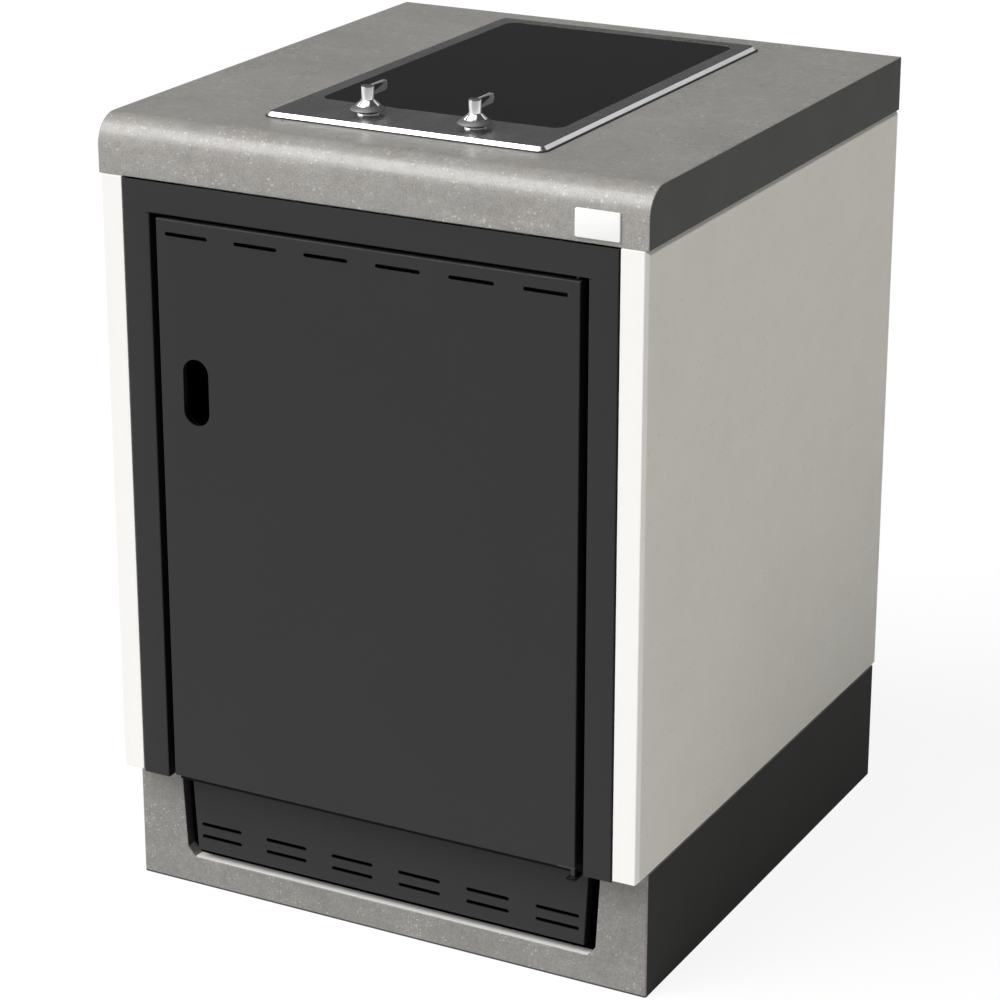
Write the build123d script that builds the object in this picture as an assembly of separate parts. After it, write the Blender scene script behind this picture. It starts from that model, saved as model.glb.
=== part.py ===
from build123d import *
from math import atan2, degrees
import os

# Hob base unit. X runs to the right, Y to the back and Z up, in millimetres.
# The origin is on the floor, under the middle of the unit's outer box.

# Whole unit
WIDTH = 648
DEPTH = 670
WORKTOP_TOP = 900
FRONT = -DEPTH / 2
BACK = DEPTH / 2

# Stone castings
SLAB_FRONT = FRONT + 4
SLAB_THICKNESS = 62
SLAB_BOTTOM = WORKTOP_TOP - SLAB_THICKNESS
BULLNOSE_RADIUS = 32
PANEL_THICKNESS = 30
PANEL_ARRIS = 4
PANEL_FRONT = FRONT + 2
PANEL_BOTTOM_GAP = 2.3
PACKER_WIDTH = 20
PACKER_LENGTH = 40
PACKER_Y = (-240, 200)
PLINTH_WIDTH = 641
PLINTH_HEIGHT = 146
PLINTH_FRONT = FRONT + 34
PLINTH_FRONT_WALL = 15
PLINTH_SIDE_WALL = 40
PLINTH_BACK_WALL = 30
PLINTH_ARRIS = 3

# Tapered cut-out in the plinth's front, and the kick panel that fills it
CUTOUT_TOP_WIDTH = 530
CUTOUT_LOW_WIDTH = 519
CUTOUT_FLOOR = 34.5
CUTOUT_CHAMFER_X = 9.5
CUTOUT_CHAMFER_Z = 11
KICK_FACE = PLINTH_FRONT + 0.5
KICK_SIDE_GAP = 13.8
KICK_BOTTOM_GAP = 10.3
KICK_TOP = 143
KICK_RETURN = 14
KICK_STUD_X = (-190, 0, 190)
KICK_STUD_Z = 131
KICK_STUD_LENGTH = 8
NUT_RADIUS = 4
NUT_HEIGHT = 2.4
KICK_SLOT_HEIGHTS = (63.2, 78.1)
SERVICE_NOTCH_WIDTH = 160
SERVICE_NOTCH_HEIGHT = 45

# Air slots, alike in the door, the kick panel and the back
SLOT_LENGTH = 52.5
SLOT_HEIGHT = 4.5
SLOT_PITCH = 85.4
SLOT_COUNT = 6

# Steel sheet
SHEET = 1.5
FRAME_SHEET = 2
FOLD_RADIUS = 1.4

# Face frame, an upside-down U round the door
FRAME_WIDTH = 585
FRAME_FACE = FRONT + 1
FRAME_DEPTH = 22
FRAME_TOP = SLAB_BOTTOM - 1
OPENING_WIDTH = 520
OPENING_TOP = 803
CORNER_SLIT_LENGTH = 4
CORNER_SLIT_HEIGHT = 0.8

# Steel carcass behind the frame
CARCASS_FRONT = FRAME_FACE + FRAME_DEPTH
CARCASS_BACK = BACK - 2
CARCASS_FLANGE = 30
STOP_FLANGE_X = 243
STOP_FLANGE_RISE = 8
FLOOR_BOTTOM = PLINTH_HEIGHT + SHEET
FLOOR_LIP_BOTTOM = 136
BACK_SLOT_HEIGHTS = (200, 215, 770, 785)
BACK_SCREW_HEIGHTS = (180, 380, 600, 790)
BACK_SCREW_X = FRAME_WIDTH / 2 - CARCASS_FLANGE / 2
FLOOR_LIP_X = STOP_FLANGE_X + 16
FLOOR_SLOT_ROWS = (200, 220, 240)
RAIL_DEPTH = 30
RAIL_HEIGHT = 34
FRONT_RAIL_Y = CARCASS_FRONT + 3
REAR_RAIL_Y = CARCASS_BACK - 4 - RAIL_DEPTH
WORKTOP_SCREW_X = (-200, 200)

# Door tray and its openings
DOOR_WIDTH = 502
DOOR_BOTTOM = 151.5
DOOR_TOP = 798.5
DOOR_DEPTH = 20
DOOR_HEM = 12
DOOR_BACK = FRONT + DOOR_DEPTH
DOOR_SLOT_HEIGHT = 782.8
FINGER_X = -206.5
FINGER_Z = 610.3
FINGER_WIDTH = 32
FINGER_HEIGHT = 75
STIFFENER_X = (-90, 90)
STIFFENER_WIDTH = 40
STIFFENER_END = 40
HINGE_NOTCH_WIDTH = 22
HINGE_NOTCH_HEIGHT = 2.2
HINGE_NOTCH_DEPTH = 12

# Pivot pins at the door's right edge
PIVOT_X = 244.5
PIVOT_Y = FRONT + 9
PIN_RADIUS = 2.5
RUNNING_GAP = 0.05
BUSH_RADIUS = 3.4
BUSH_FLANGE_RADIUS = 4
BUSH_FLANGE = 0.8
TAB_TOP = 138
TAB_THICKNESS = 2
TAB_LEG = 2
TAB_LEFT = 239
TAB_RIGHT = 250
TAB_REACH = 5.5

# Magnetic catch and rubber stops on the left stop flange
CATCH_X = -STOP_FLANGE_X
CATCH_Z = 475
CATCH_HEIGHT = 50
MAGNET_FACE = DOOR_BACK + 1.8
MAGNET_X = CATCH_X + 4
MAGNET_WIDTH = 10
MAGNET_HEIGHT = 40
STRIKE_HEIGHT = 36
BUMPER_RADIUS = 3.5
BUMPER_HEIGHTS = (200, 750)

# Hob set into the worktop
HOB_WIDTH = 332
HOB_FRONT = -250.5
HOB_BACK = 290
HOB_HEIGHT = 5.5
HOB_SHEET = 1.2
HOB_CORNER = 9
GASKET_THICKNESS = 1.2
GASKET_PROUD = 2
GASKET_WIDTH = 12
RIM_RUN = 3.4
RIM_WALL = 1.5
GLASS_WIDTH = 290
GLASS_FRONT = -172
GLASS_BACK = 268.8
GLASS_THICKNESS = 4
GLASS_CORNER = 15
GLASS_GAP = 0.3
GLASS_LEDGE = 8
SLAB_HOLE_WIDTH = 292
SLAB_HOLE_FRONT = -232
SLAB_HOLE_BACK = 272
CASING_WALL = 1
CASING_GAP = 4
CASING_BOTTOM = 843
CASING_X = SLAB_HOLE_WIDTH / 2 - CASING_GAP
CASING_FRONT = SLAB_HOLE_FRONT + CASING_GAP
CASING_BACK = SLAB_HOLE_BACK - CASING_GAP
CASING_SLOT_ROWS = (-120, -25, 70, 165)
HOB_TOP = WORKTOP_TOP + HOB_HEIGHT
HOB_UNDERSIDE = HOB_TOP - HOB_SHEET
GLASS_BOTTOM = HOB_TOP - GLASS_THICKNESS
HOB_CENTRE_Y = (HOB_FRONT + HOB_BACK) / 2
HOB_DEPTH = HOB_BACK - HOB_FRONT
RIM_FOOT = WORKTOP_TOP + GASKET_THICKNESS
RIM_SLOPE = degrees(atan2(RIM_RUN, HOB_TOP - RIM_FOOT))

# Heating zones: name, centre along Y and outer radius
ZONES = (("front", -62, 72.5), ("rear", 132, 90))
DISH_DEPTH = 30
RIBBON_TURNS = 4
RIBBON_WIDTH = 3
RIBBON_HEIGHT = 6

BRIDGE_TOP = 861
BRIDGE_HEIGHT = 8
BRIDGE_WIDTH = 24
SPRING_X = 40
SPRING_SPAN = 50
SPRING_WIDTH = 16
SPRING_SHEET = 0.8
GLAND_X = 90
GLAND_Z = 862
GLAND_RADIUS = 8
REGULATOR_TOP = HOB_UNDERSIDE - 7
REGULATOR_BOTTOM = REGULATOR_TOP - 30
REGULATOR_HALF = 18
NECK_RADIUS = 5
CAM_RADIUS = 9
CLAMP_Y = (-150, 190)
CLAMP_WIDTH = 24
CLAMP_REACH = 26
CLAMP_BOTTOM = 829
CLAMP_TOP = 866
CLAMP_SCREW_RADIUS = 2.5
TERMINAL_WIDTH = 60
TERMINAL_DEPTH = 28
TERMINAL_HEIGHT = 18
TERMINAL_PITCH = 18

# Knobs, heights counted from the hob's top face
KNOB_SPACING = 128
KNOB_Y = -207
COLLAR_RADIUS = 12
COLLAR_HEIGHT = 2.2
SKIRT_RADIUS = 18.8
SKIRT_RIM = 4.6
HUB_RADIUS = 6
HUB_BASE = 4
CONE_RADIUS = 12.9
CONE_RIM = 0.8
CONE_EDGE = 0.4
CONE_BASE = 9.9
POST_BASE = 15.4
POST_RADIUS = 6.95
POST_EDGE = 0.7
POST_TOP = 30
SOCKET_TOP = 18.6
SPINDLE_RADIUS = 3
LEVER_REACH = 39
LEVER_HEIGHT = 12
LEVER_THICKNESS = 4
LEVER_ROUND = 5.5
LEVER_WEB = 4

# Bare name plate on the worktop's front
PLATE_X = 268
PLATE_Z = 858.5
PLATE_WIDTH = 50
PLATE_HEIGHT = 30
PLATE_THICKNESS = 2

# Fixings
BOLT_RADIUS = 3
BOLT_CLEARANCE = 3.5
BOLT_HEAD_RADIUS = 5.5
BOLT_HEAD_HEIGHT = 4
WASHER_RADIUS = 8
SCREW_RADIUS = 2
SCREW_HEAD_RADIUS = 4
PANEL_BOLT_Y = (-260, 260)
PANEL_BOLT_Z = (230, 760)
CABLE_X = -180
CABLE_Z = 260
CABLE_BORE_RADIUS = 15
GROMMET_RADIUS = 23
GROMMET_LENGTH = 8

SIDES = (-1, 1)


def block(x0, x1, y0, y1, z0, z1):
    """Rectangular solid between two values on each axis."""
    return Pos((x0 + x1) / 2, (y0 + y1) / 2, (z0 + z1) / 2) * Box(x1 - x0, y1 - y0, z1 - z0)


def side_block(side, x0, x1, y0, y1, z0, z1):
    """The same solid on the left (-1) or the right (1), from distances off the middle plane."""
    low, high = sorted((side * x0, side * x1))
    return block(low, high, y0, y1, z0, z1)


def rod(x, y, z0, z1, radius):
    """Upright cylinder."""
    return Pos(x, y, (z0 + z1) / 2) * Cylinder(radius, z1 - z0)


def rod_x(y, z, x0, x1, radius):
    """Cylinder along X."""
    return Pos((x0 + x1) / 2, y, z) * Rot(0, 90, 0) * Cylinder(radius, abs(x1 - x0))


def rod_y(x, z, y0, y1, radius):
    """Cylinder along Y."""
    return Pos(x, (y0 + y1) / 2, z) * Rot(90, 0, 0) * Cylinder(radius, y1 - y0)


def plate_prism(x, y, width, depth, corner, z0, z1):
    """Upright prism of a rectangle with rounded corners, centred at x, y."""
    return Pos(x, y, z0) * extrude(RectangleRounded(width, depth, corner), z1 - z0)


def front_prism(outline, y0, y1):
    """A sketch drawn in X and Z, as seen from the front, made solid from y0 back to y1."""
    return extrude(Plane.XZ.offset(-y0) * outline, -(y1 - y0))


def air_slots(z, y0, y1):
    """One row of round-ended slots, cut from y0 to y1."""
    first = -(SLOT_COUNT - 1) / 2 * SLOT_PITCH
    slot = SlotOverall(SLOT_LENGTH, SLOT_HEIGHT)
    row = [Pos(first + i * SLOT_PITCH, z) * slot for i in range(SLOT_COUNT)]
    return front_prism(Sketch() + row, y0, y1)


def round_front(shape, y, radius, skip_above=None):
    """Fold radius on every straight edge that lies in the front plane at y."""
    edges = [e for e in shape.edges().filter_by(GeomType.LINE)
             if max(abs(e.start_point().Y - y), abs(e.end_point().Y - y)) < 0.01 and e.length > 20]
    if skip_above is not None:
        edges = [e for e in edges if min(e.start_point().Z, e.end_point().Z) < skip_above]
    return fillet(edges, radius)


def ring(x, y, z0, z1, outer, inner):
    """Upright tube."""
    return rod(x, y, z0, z1, outer) - rod(x, y, z0 - 1, z1 + 1, inner)


# Stone castings

def worktop():
    slab = block(-WIDTH / 2, WIDTH / 2, SLAB_FRONT, BACK, SLAB_BOTTOM, WORKTOP_TOP)
    nose = slab.edges().filter_by(Axis.X).group_by(Axis.Z)[-1].sort_by(Axis.Y)[0]
    slab = fillet(nose, BULLNOSE_RADIUS)
    slab -= block(-SLAB_HOLE_WIDTH / 2, SLAB_HOLE_WIDTH / 2, SLAB_HOLE_FRONT, SLAB_HOLE_BACK,
                  SLAB_BOTTOM - 1, WORKTOP_TOP + 1)
    for x, y in worktop_screw_places():
        slab -= rod(x, y, SLAB_BOTTOM - 1, SLAB_BOTTOM + 20, BOLT_RADIUS)
    return slab


def name_plate():
    outline = Pos(PLATE_X, PLATE_Z) * RectangleRounded(PLATE_WIDTH, PLATE_HEIGHT, 2)
    return front_prism(outline, SLAB_FRONT - PLATE_THICKNESS, SLAB_FRONT)


def side_panel(side):
    inner = WIDTH / 2 - PANEL_THICKNESS
    panel = side_block(side, inner, WIDTH / 2, PANEL_FRONT, BACK,
                       PLINTH_HEIGHT + PANEL_BOTTOM_GAP, SLAB_BOTTOM)
    outer_face = panel.faces().sort_by(Axis.X)[-1 if side > 0 else 0]
    panel = chamfer(outer_face.edges(), PANEL_ARRIS)
    for y in PANEL_BOLT_Y:
        for z in PANEL_BOLT_Z:
            panel -= rod_x(y, z, side * (inner - 1), side * (inner + 18), BOLT_RADIUS)
    return panel


def cutout_half(z):
    """Half the width of the plinth's tapered opening at a height over its lower corners."""
    step = CUTOUT_FLOOR + CUTOUT_CHAMFER_Z
    taper = (CUTOUT_TOP_WIDTH - CUTOUT_LOW_WIDTH) / 2 / (PLINTH_HEIGHT - step)
    return CUTOUT_LOW_WIDTH / 2 + taper * (z - step)


def mirrored_face(half):
    """Face in X and Z from the right half of its outline, listed downwards."""
    return make_face(Polyline(half + [(-x, z) for x, z in reversed(half)], close=True))


def cutout_outline(top):
    """The plinth's opening up to a height, with its lower corners cut off."""
    step = CUTOUT_FLOOR + CUTOUT_CHAMFER_Z
    low = cutout_half(step)
    return mirrored_face([(cutout_half(top), top), (low, step), (low - CUTOUT_CHAMFER_X, CUTOUT_FLOOR)])


def kick_outline(inset, top):
    """The kick panel's outline, square at its foot and drawn in by inset."""
    gap = KICK_SIDE_GAP + inset
    foot = CUTOUT_FLOOR + KICK_BOTTOM_GAP + inset
    return mirrored_face([(cutout_half(top) - gap, top), (cutout_half(foot) - gap, foot)])


def plinth():
    half = PLINTH_WIDTH / 2
    body = block(-half, half, PLINTH_FRONT, BACK, 0, PLINTH_HEIGHT)
    body = fillet(body.edges().filter_by(Axis.Z).group_by(Axis.Y)[0], PLINTH_ARRIS)
    body -= block(-half + PLINTH_SIDE_WALL, half - PLINTH_SIDE_WALL, PLINTH_FRONT + PLINTH_FRONT_WALL,
                  BACK - PLINTH_BACK_WALL, -1, PLINTH_HEIGHT + 1)
    body -= front_prism(cutout_outline(PLINTH_HEIGHT + 1), PLINTH_FRONT - 1,
                        PLINTH_FRONT + PLINTH_FRONT_WALL + 1)
    body -= block(-SERVICE_NOTCH_WIDTH / 2, SERVICE_NOTCH_WIDTH / 2, BACK - PLINTH_BACK_WALL - 1, BACK + 1,
                  PLINTH_HEIGHT - SERVICE_NOTCH_HEIGHT, PLINTH_HEIGHT + 1)
    return body


def panel_packers():
    """Thin pads that carry each side panel on the plinth."""
    x0 = WIDTH / 2 - PANEL_THICKNESS + 3
    z0 = PLINTH_HEIGHT
    pads = [side_block(s, x0, x0 + PACKER_WIDTH, y, y + PACKER_LENGTH, z0, z0 + PANEL_BOTTOM_GAP)
            for s in SIDES for y in PACKER_Y]
    return Compound(children=pads)


# Steel carcass

def carcass_side(side):
    """Folded side sheet with flanges along its front, back, top and bottom."""
    x = FRAME_WIDTH / 2
    inner = x - CARCASS_FLANGE
    y0, y1 = CARCASS_FRONT, CARCASS_BACK
    z0, z1 = PLINTH_HEIGHT, SLAB_BOTTOM
    wall = side_block(side, x - SHEET, x, y0, y1, z0, z1)
    stop = side_block(side, STOP_FLANGE_X, x, y0, y0 + SHEET, z0 + STOP_FLANGE_RISE, z1)
    rear = side_block(side, inner, x, y1 - SHEET, y1, z0, z1)
    foot = side_block(side, inner, x, y0, y1, z0, z0 + SHEET)
    head = side_block(side, inner, x, y0, y1, z1 - SHEET, z1)
    shell = wall + stop + rear + foot + head
    for y in PANEL_BOLT_Y:
        for z in PANEL_BOLT_Z:
            shell -= rod_x(y, z, side * (x - 3), side * (x + 1), BOLT_CLEARANCE)
    for z in BACK_SCREW_HEIGHTS:
        shell -= rod_y(side * BACK_SCREW_X, z, CARCASS_BACK - 3, CARCASS_BACK + 1, SCREW_RADIUS)
    return shell


def carcass_back():
    x = FRAME_WIDTH / 2 - SHEET - 1
    outside = CARCASS_BACK - SHEET
    sheet = block(-x, x, outside - SHEET, outside, FLOOR_BOTTOM + SHEET, SLAB_BOTTOM - 2 * SHEET)
    y0, y1 = CARCASS_BACK - 5, CARCASS_BACK + 1
    for z in BACK_SLOT_HEIGHTS:
        sheet -= air_slots(z, y0, y1)
    sheet -= rod_y(CABLE_X, CABLE_Z, y0, y1, GROMMET_RADIUS - 4)
    for side in SIDES:
        for z in BACK_SCREW_HEIGHTS:
            sheet -= rod_y(side * BACK_SCREW_X, z, y0, y1, SCREW_RADIUS)
    return sheet


def carcass_floor():
    """Floor sheet with a lip folded down at the front and air slots towards the back."""
    x = FRAME_WIDTH / 2 - SHEET
    sheet = block(-x, x, CARCASS_FRONT + SHEET, CARCASS_BACK - 2 * SHEET, FLOOR_BOTTOM, FLOOR_BOTTOM + SHEET)
    lip = block(-FLOOR_LIP_X, FLOOR_LIP_X, CARCASS_FRONT, CARCASS_FRONT + SHEET,
                FLOOR_LIP_BOTTOM, FLOOR_BOTTOM + SHEET)
    floor = sheet + lip
    for y in FLOOR_SLOT_ROWS:
        for i in range(SLOT_COUNT):
            x = (i - (SLOT_COUNT - 1) / 2) * SLOT_PITCH
            floor -= Pos(x, y, FLOOR_BOTTOM - 1) * extrude(SlotOverall(SLOT_LENGTH, SLOT_HEIGHT), SHEET + 2)
    return floor


def top_rail(y0):
    """Channel between the sides that the worktop is screwed to, open underneath."""
    x = FRAME_WIDTH / 2 - SHEET - 0.5
    y1 = y0 + RAIL_DEPTH
    top = SLAB_BOTTOM - SHEET
    rail = block(-x, x, y0, y1, top - RAIL_HEIGHT, top)
    rail -= block(-x - 1, x + 1, y0 + SHEET, y1 - SHEET, top - RAIL_HEIGHT - 1, top - SHEET)
    for sx, sy in worktop_screw_places():
        if y0 < sy < y1:
            rail -= rod(sx, sy, top - 5, top + 1, BOLT_CLEARANCE)
    return rail


def worktop_screw_places():
    front = FRONT_RAIL_Y + RAIL_DEPTH / 2
    rear = REAR_RAIL_Y + RAIL_DEPTH / 2
    return [(x, y) for x in WORKTOP_SCREW_X for y in (front, rear)]


def worktop_screws():
    """Machine screws up through the rails into the slab."""
    top = SLAB_BOTTOM - 2 * SHEET
    shanks = [rod(x, y, top, SLAB_BOTTOM + 19, BOLT_RADIUS) for x, y in worktop_screw_places()]
    heads = [rod(x, y, top - BOLT_HEAD_HEIGHT, top, BOLT_HEAD_RADIUS) for x, y in worktop_screw_places()]
    return Compound(children=[shank + head for shank, head in zip(shanks, heads)])


def panel_spacers():
    """Washers that hold the side panels off the carcass."""
    x0, x1 = FRAME_WIDTH / 2, WIDTH / 2 - PANEL_THICKNESS
    washers = [rod_x(y, z, s * x0, s * x1, WASHER_RADIUS)
               - rod_x(y, z, s * (x0 - 1), s * (x1 + 1), BOLT_CLEARANCE)
               for s in SIDES for y in PANEL_BOLT_Y for z in PANEL_BOLT_Z]
    return Compound(children=washers)


def side_panel_bolts():
    x0, x1 = FRAME_WIDTH / 2 - SHEET, WIDTH / 2 - PANEL_THICKNESS
    bolts = [rod_x(y, z, s * x0, s * (x1 + 17), BOLT_RADIUS)
             + rod_x(y, z, s * (x0 - BOLT_HEAD_HEIGHT), s * x0, BOLT_HEAD_RADIUS)
             for s in SIDES for y in PANEL_BOLT_Y for z in PANEL_BOLT_Z]
    return Compound(children=bolts)


def back_screws():
    """Pan-head screws that hold the back sheet to the side sheets."""
    screws = [rod_y(s * BACK_SCREW_X, z, CARCASS_BACK - 6, CARCASS_BACK, SCREW_RADIUS)
              + rod_y(s * BACK_SCREW_X, z, CARCASS_BACK, BACK, SCREW_HEAD_RADIUS)
              for s in SIDES for z in BACK_SCREW_HEIGHTS]
    return Compound(children=screws)


def cable_grommet():
    """Rubber ring with a groove that grips the edge of the hole in the back sheet."""
    y1 = CARCASS_BACK + 1
    y0 = y1 - GROMMET_LENGTH
    ring_body = rod_y(CABLE_X, CABLE_Z, y0, y1, GROMMET_RADIUS)
    ring_body -= rod_y(CABLE_X, CABLE_Z, y0 - 1, y1 + 1, CABLE_BORE_RADIUS)
    groove = rod_y(CABLE_X, CABLE_Z, CARCASS_BACK - 2 * SHEET, CARCASS_BACK - SHEET, GROMMET_RADIUS + 1)
    groove -= rod_y(CABLE_X, CABLE_Z, y0, y1, GROMMET_RADIUS - 4)
    return ring_body - groove


# Face frame and kick panel

def face_frame():
    half, opening = FRAME_WIDTH / 2, OPENING_WIDTH / 2
    y0, y1 = FRAME_FACE, FRAME_FACE + FRAME_DEPTH
    t = FRAME_SHEET
    front = block(-half, half, y0, y0 + t, PLINTH_HEIGHT, FRAME_TOP)
    sides = [side_block(s, half - t, half, y0, y1, PLINTH_HEIGHT, FRAME_TOP) for s in SIDES]
    jambs = [side_block(s, opening, opening + t, y0, y1, PLINTH_HEIGHT, OPENING_TOP + t) for s in SIDES]
    feet = [side_block(s, opening, half, y0, y1, PLINTH_HEIGHT, PLINTH_HEIGHT + t) for s in SIDES]
    head = block(-opening - t, opening + t, y0, y1, OPENING_TOP, OPENING_TOP + t)
    frame = front + sides + jambs + feet + head
    frame -= block(-opening, opening, y0 - 1, y1 + 1, PLINTH_HEIGHT - 1, OPENING_TOP)
    frame = round_front(frame, y0, FOLD_RADIUS, skip_above=FRAME_TOP - 1)
    for s in SIDES:
        frame -= side_block(s, opening - 1, opening + CORNER_SLIT_LENGTH, y0 - 1, y0 + 5,
                            OPENING_TOP - CORNER_SLIT_HEIGHT, OPENING_TOP)
    return frame - rod(PIVOT_X, PIVOT_Y, OPENING_TOP - 1, OPENING_TOP + t + 1, BUSH_RADIUS)


def kick_panel():
    """Slotted sheet in the plinth's opening, folded back at its sides and foot, with studs behind."""
    y0 = KICK_FACE
    y1 = y0 + KICK_RETURN
    panel = front_prism(kick_outline(0, KICK_TOP), y0, y1)
    panel -= front_prism(kick_outline(SHEET, KICK_TOP + 10), y0 + SHEET, y1 + 1)
    panel = round_front(panel, y0, FOLD_RADIUS, skip_above=KICK_TOP - 1)
    for z in KICK_SLOT_HEIGHTS:
        panel -= air_slots(z, y0 - 1, y0 + SHEET + 1)
    for x in KICK_STUD_X:
        panel += rod_y(x, KICK_STUD_Z, y0 + SHEET / 2, y0 + SHEET + KICK_STUD_LENGTH, SCREW_RADIUS)
    return panel


def kick_brackets():
    """Angles that hang the kick panel from the carcass floor by its studs."""
    y0 = KICK_FACE + SHEET
    angles = []
    for x in KICK_STUD_X:
        leg = block(x - 15, x + 15, y0, y0 + SHEET, KICK_STUD_Z - 10, FLOOR_BOTTOM)
        shelf = block(x - 15, x + 15, y0, y0 + 25, FLOOR_BOTTOM - SHEET, FLOOR_BOTTOM)
        angles.append(leg + shelf - rod_y(x, KICK_STUD_Z, y0 - 1, y0 + SHEET + 1, SCREW_RADIUS))
    return Compound(children=angles)


def kick_nuts():
    """Hexagon nuts on the kick panel's studs, behind the angles."""
    y0 = KICK_FACE + 2 * SHEET
    nuts = []
    for x in KICK_STUD_X:
        nut = front_prism(Pos(x, KICK_STUD_Z) * RegularPolygon(NUT_RADIUS, 6), y0, y0 + NUT_HEIGHT)
        nuts.append(nut - rod_y(x, KICK_STUD_Z, y0 - 1, y0 + NUT_HEIGHT + 1, SCREW_RADIUS))
    return Compound(children=nuts)


# Door and its pivots

def door_skin():
    half = DOOR_WIDTH / 2
    skin = block(-half, half, FRONT, DOOR_BACK, DOOR_BOTTOM, DOOR_TOP)
    skin -= block(-half + SHEET, half - SHEET, FRONT + SHEET, DOOR_BACK - SHEET,
                  DOOR_BOTTOM + SHEET, DOOR_TOP - SHEET)
    skin -= block(-half + DOOR_HEM, half - DOOR_HEM, DOOR_BACK - SHEET - 1, DOOR_BACK + 1,
                  DOOR_BOTTOM + DOOR_HEM, DOOR_TOP - DOOR_HEM)
    skin = round_front(skin, FRONT, FOLD_RADIUS)
    skin -= air_slots(DOOR_SLOT_HEIGHT, FRONT - 1, FRONT + SHEET + 1)
    finger = Pos(FINGER_X, FINGER_Z) * Rot(0, 0, 90) * SlotOverall(FINGER_HEIGHT, FINGER_WIDTH)
    skin -= front_prism(finger, FRONT - 1, FRONT + SHEET + 1)
    skin -= block(half - HINGE_NOTCH_WIDTH, half + 1, FRONT - 1, FRONT + HINGE_NOTCH_DEPTH,
                  DOOR_BOTTOM - 1, DOOR_BOTTOM + HINGE_NOTCH_HEIGHT)
    return skin - rod(PIVOT_X, PIVOT_Y, DOOR_TOP - SHEET - 1, DOOR_TOP + 1, PIN_RADIUS + 0.5)


def door_liner():
    """Inner sheet that lies on the door's hems, with the same openings."""
    half = DOOR_WIDTH / 2 - SHEET - 0.5
    y1 = DOOR_BACK - SHEET
    liner = block(-half, half, y1 - 1, y1, DOOR_BOTTOM + SHEET + 0.5, DOOR_TOP - SHEET - 0.5)
    liner -= air_slots(DOOR_SLOT_HEIGHT, y1 - 2, y1 + 1)
    finger = Pos(FINGER_X, FINGER_Z) * Rot(0, 0, 90) * SlotOverall(FINGER_HEIGHT + 14, FINGER_WIDTH + 14)
    return liner - front_prism(finger, y1 - 2, y1 + 1)


def door_stiffeners():
    """Two upright channels between the skin and the liner."""
    y0, y1 = FRONT + SHEET, DOOR_BACK - SHEET - 1
    z0, z1 = DOOR_BOTTOM + STIFFENER_END, DOOR_TOP - STIFFENER_END
    half = STIFFENER_WIDTH / 2
    wall = half - 1
    channels = []
    for x in STIFFENER_X:
        channel = block(x - half, x + half, y0, y1, z0, z1)
        channels.append(channel - block(x - wall, x + wall, y0 + 1, y1 + 1, z0 - 1, z1 + 1))
    return Compound(children=channels)


LOWER_BLOCK = (DOOR_BOTTOM + HINGE_NOTCH_HEIGHT, DOOR_BOTTOM + 20)
UPPER_BLOCK = (DOOR_TOP - 20, DOOR_TOP - SHEET)


def door_pivot_blocks():
    """Nylon blocks in the door's right corners that hold the pivot pins.

    The lower one has a foot that fills the notch in the door's bottom edge.
    """
    half = DOOR_WIDTH / 2
    foot = block(half - HINGE_NOTCH_WIDTH + 0.3, half - 0.3, FRONT + 0.4, FRONT + HINGE_NOTCH_DEPTH - 0.3,
                 DOOR_BOTTOM + 0.2, LOWER_BLOCK[0])
    blocks = []
    for z0, z1 in (LOWER_BLOCK, UPPER_BLOCK):
        body = block(PIVOT_X - 8, half - SHEET, FRONT + SHEET, PIVOT_Y + 6, z0, z1)
        body = body + foot if z0 == LOWER_BLOCK[0] else body
        blocks.append(body - rod(PIVOT_X, PIVOT_Y, z0 - 5, z1 + 1, PIN_RADIUS))
    return Compound(children=blocks)


def lower_pin():
    """Pin with a collar that carries the door's weight on the bush."""
    seat = TAB_TOP + BUSH_FLANGE
    pin = rod(PIVOT_X, PIVOT_Y, TAB_TOP - TAB_THICKNESS, LOWER_BLOCK[1], PIN_RADIUS)
    return pin + rod(PIVOT_X, PIVOT_Y, seat, seat + 1, BUSH_RADIUS)


def upper_pin():
    return rod(PIVOT_X, PIVOT_Y, UPPER_BLOCK[0], OPENING_TOP + 6, PIN_RADIUS)


def hinge_tab():
    """Angle welded to the carcass floor's front lip, whose tongue carries the lower bush."""
    y0, z0 = CARCASS_FRONT - TAB_LEG, TAB_TOP - TAB_THICKNESS
    tongue = block(TAB_LEFT, TAB_RIGHT, PIVOT_Y - TAB_REACH, CARCASS_FRONT, z0, TAB_TOP)
    leg = block(TAB_LEFT, TAB_RIGHT, y0, CARCASS_FRONT, z0, FLOOR_BOTTOM + SHEET)
    return tongue + leg - rod(PIVOT_X, PIVOT_Y, z0 - 1, TAB_TOP + 1, BUSH_RADIUS)


def flanged_bush(z0, z1, flange_bottom):
    """Plain bush from z0 to z1, with a flange on its lower or upper end."""
    flange = rod(PIVOT_X, PIVOT_Y, flange_bottom, flange_bottom + BUSH_FLANGE, BUSH_FLANGE_RADIUS)
    bush = rod(PIVOT_X, PIVOT_Y, z0, z1, BUSH_RADIUS) + flange
    return bush - rod(PIVOT_X, PIVOT_Y, z0 - 10, z1 + 10, PIN_RADIUS + RUNNING_GAP)


def catch_body():
    """Plastic housing of the magnetic catch, hooked on the stop flange's edge."""
    z0, z1 = CATCH_Z - CATCH_HEIGHT / 2, CATCH_Z + CATCH_HEIGHT / 2
    body = block(CATCH_X, CATCH_X + 18, MAGNET_FACE + 0.5, MAGNET_FACE + 16, z0, z1)
    ear = block(CATCH_X - 16, CATCH_X, CARCASS_FRONT + SHEET, CARCASS_FRONT + SHEET + 3, z0, z1)
    return body + ear - catch_magnet()


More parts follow.
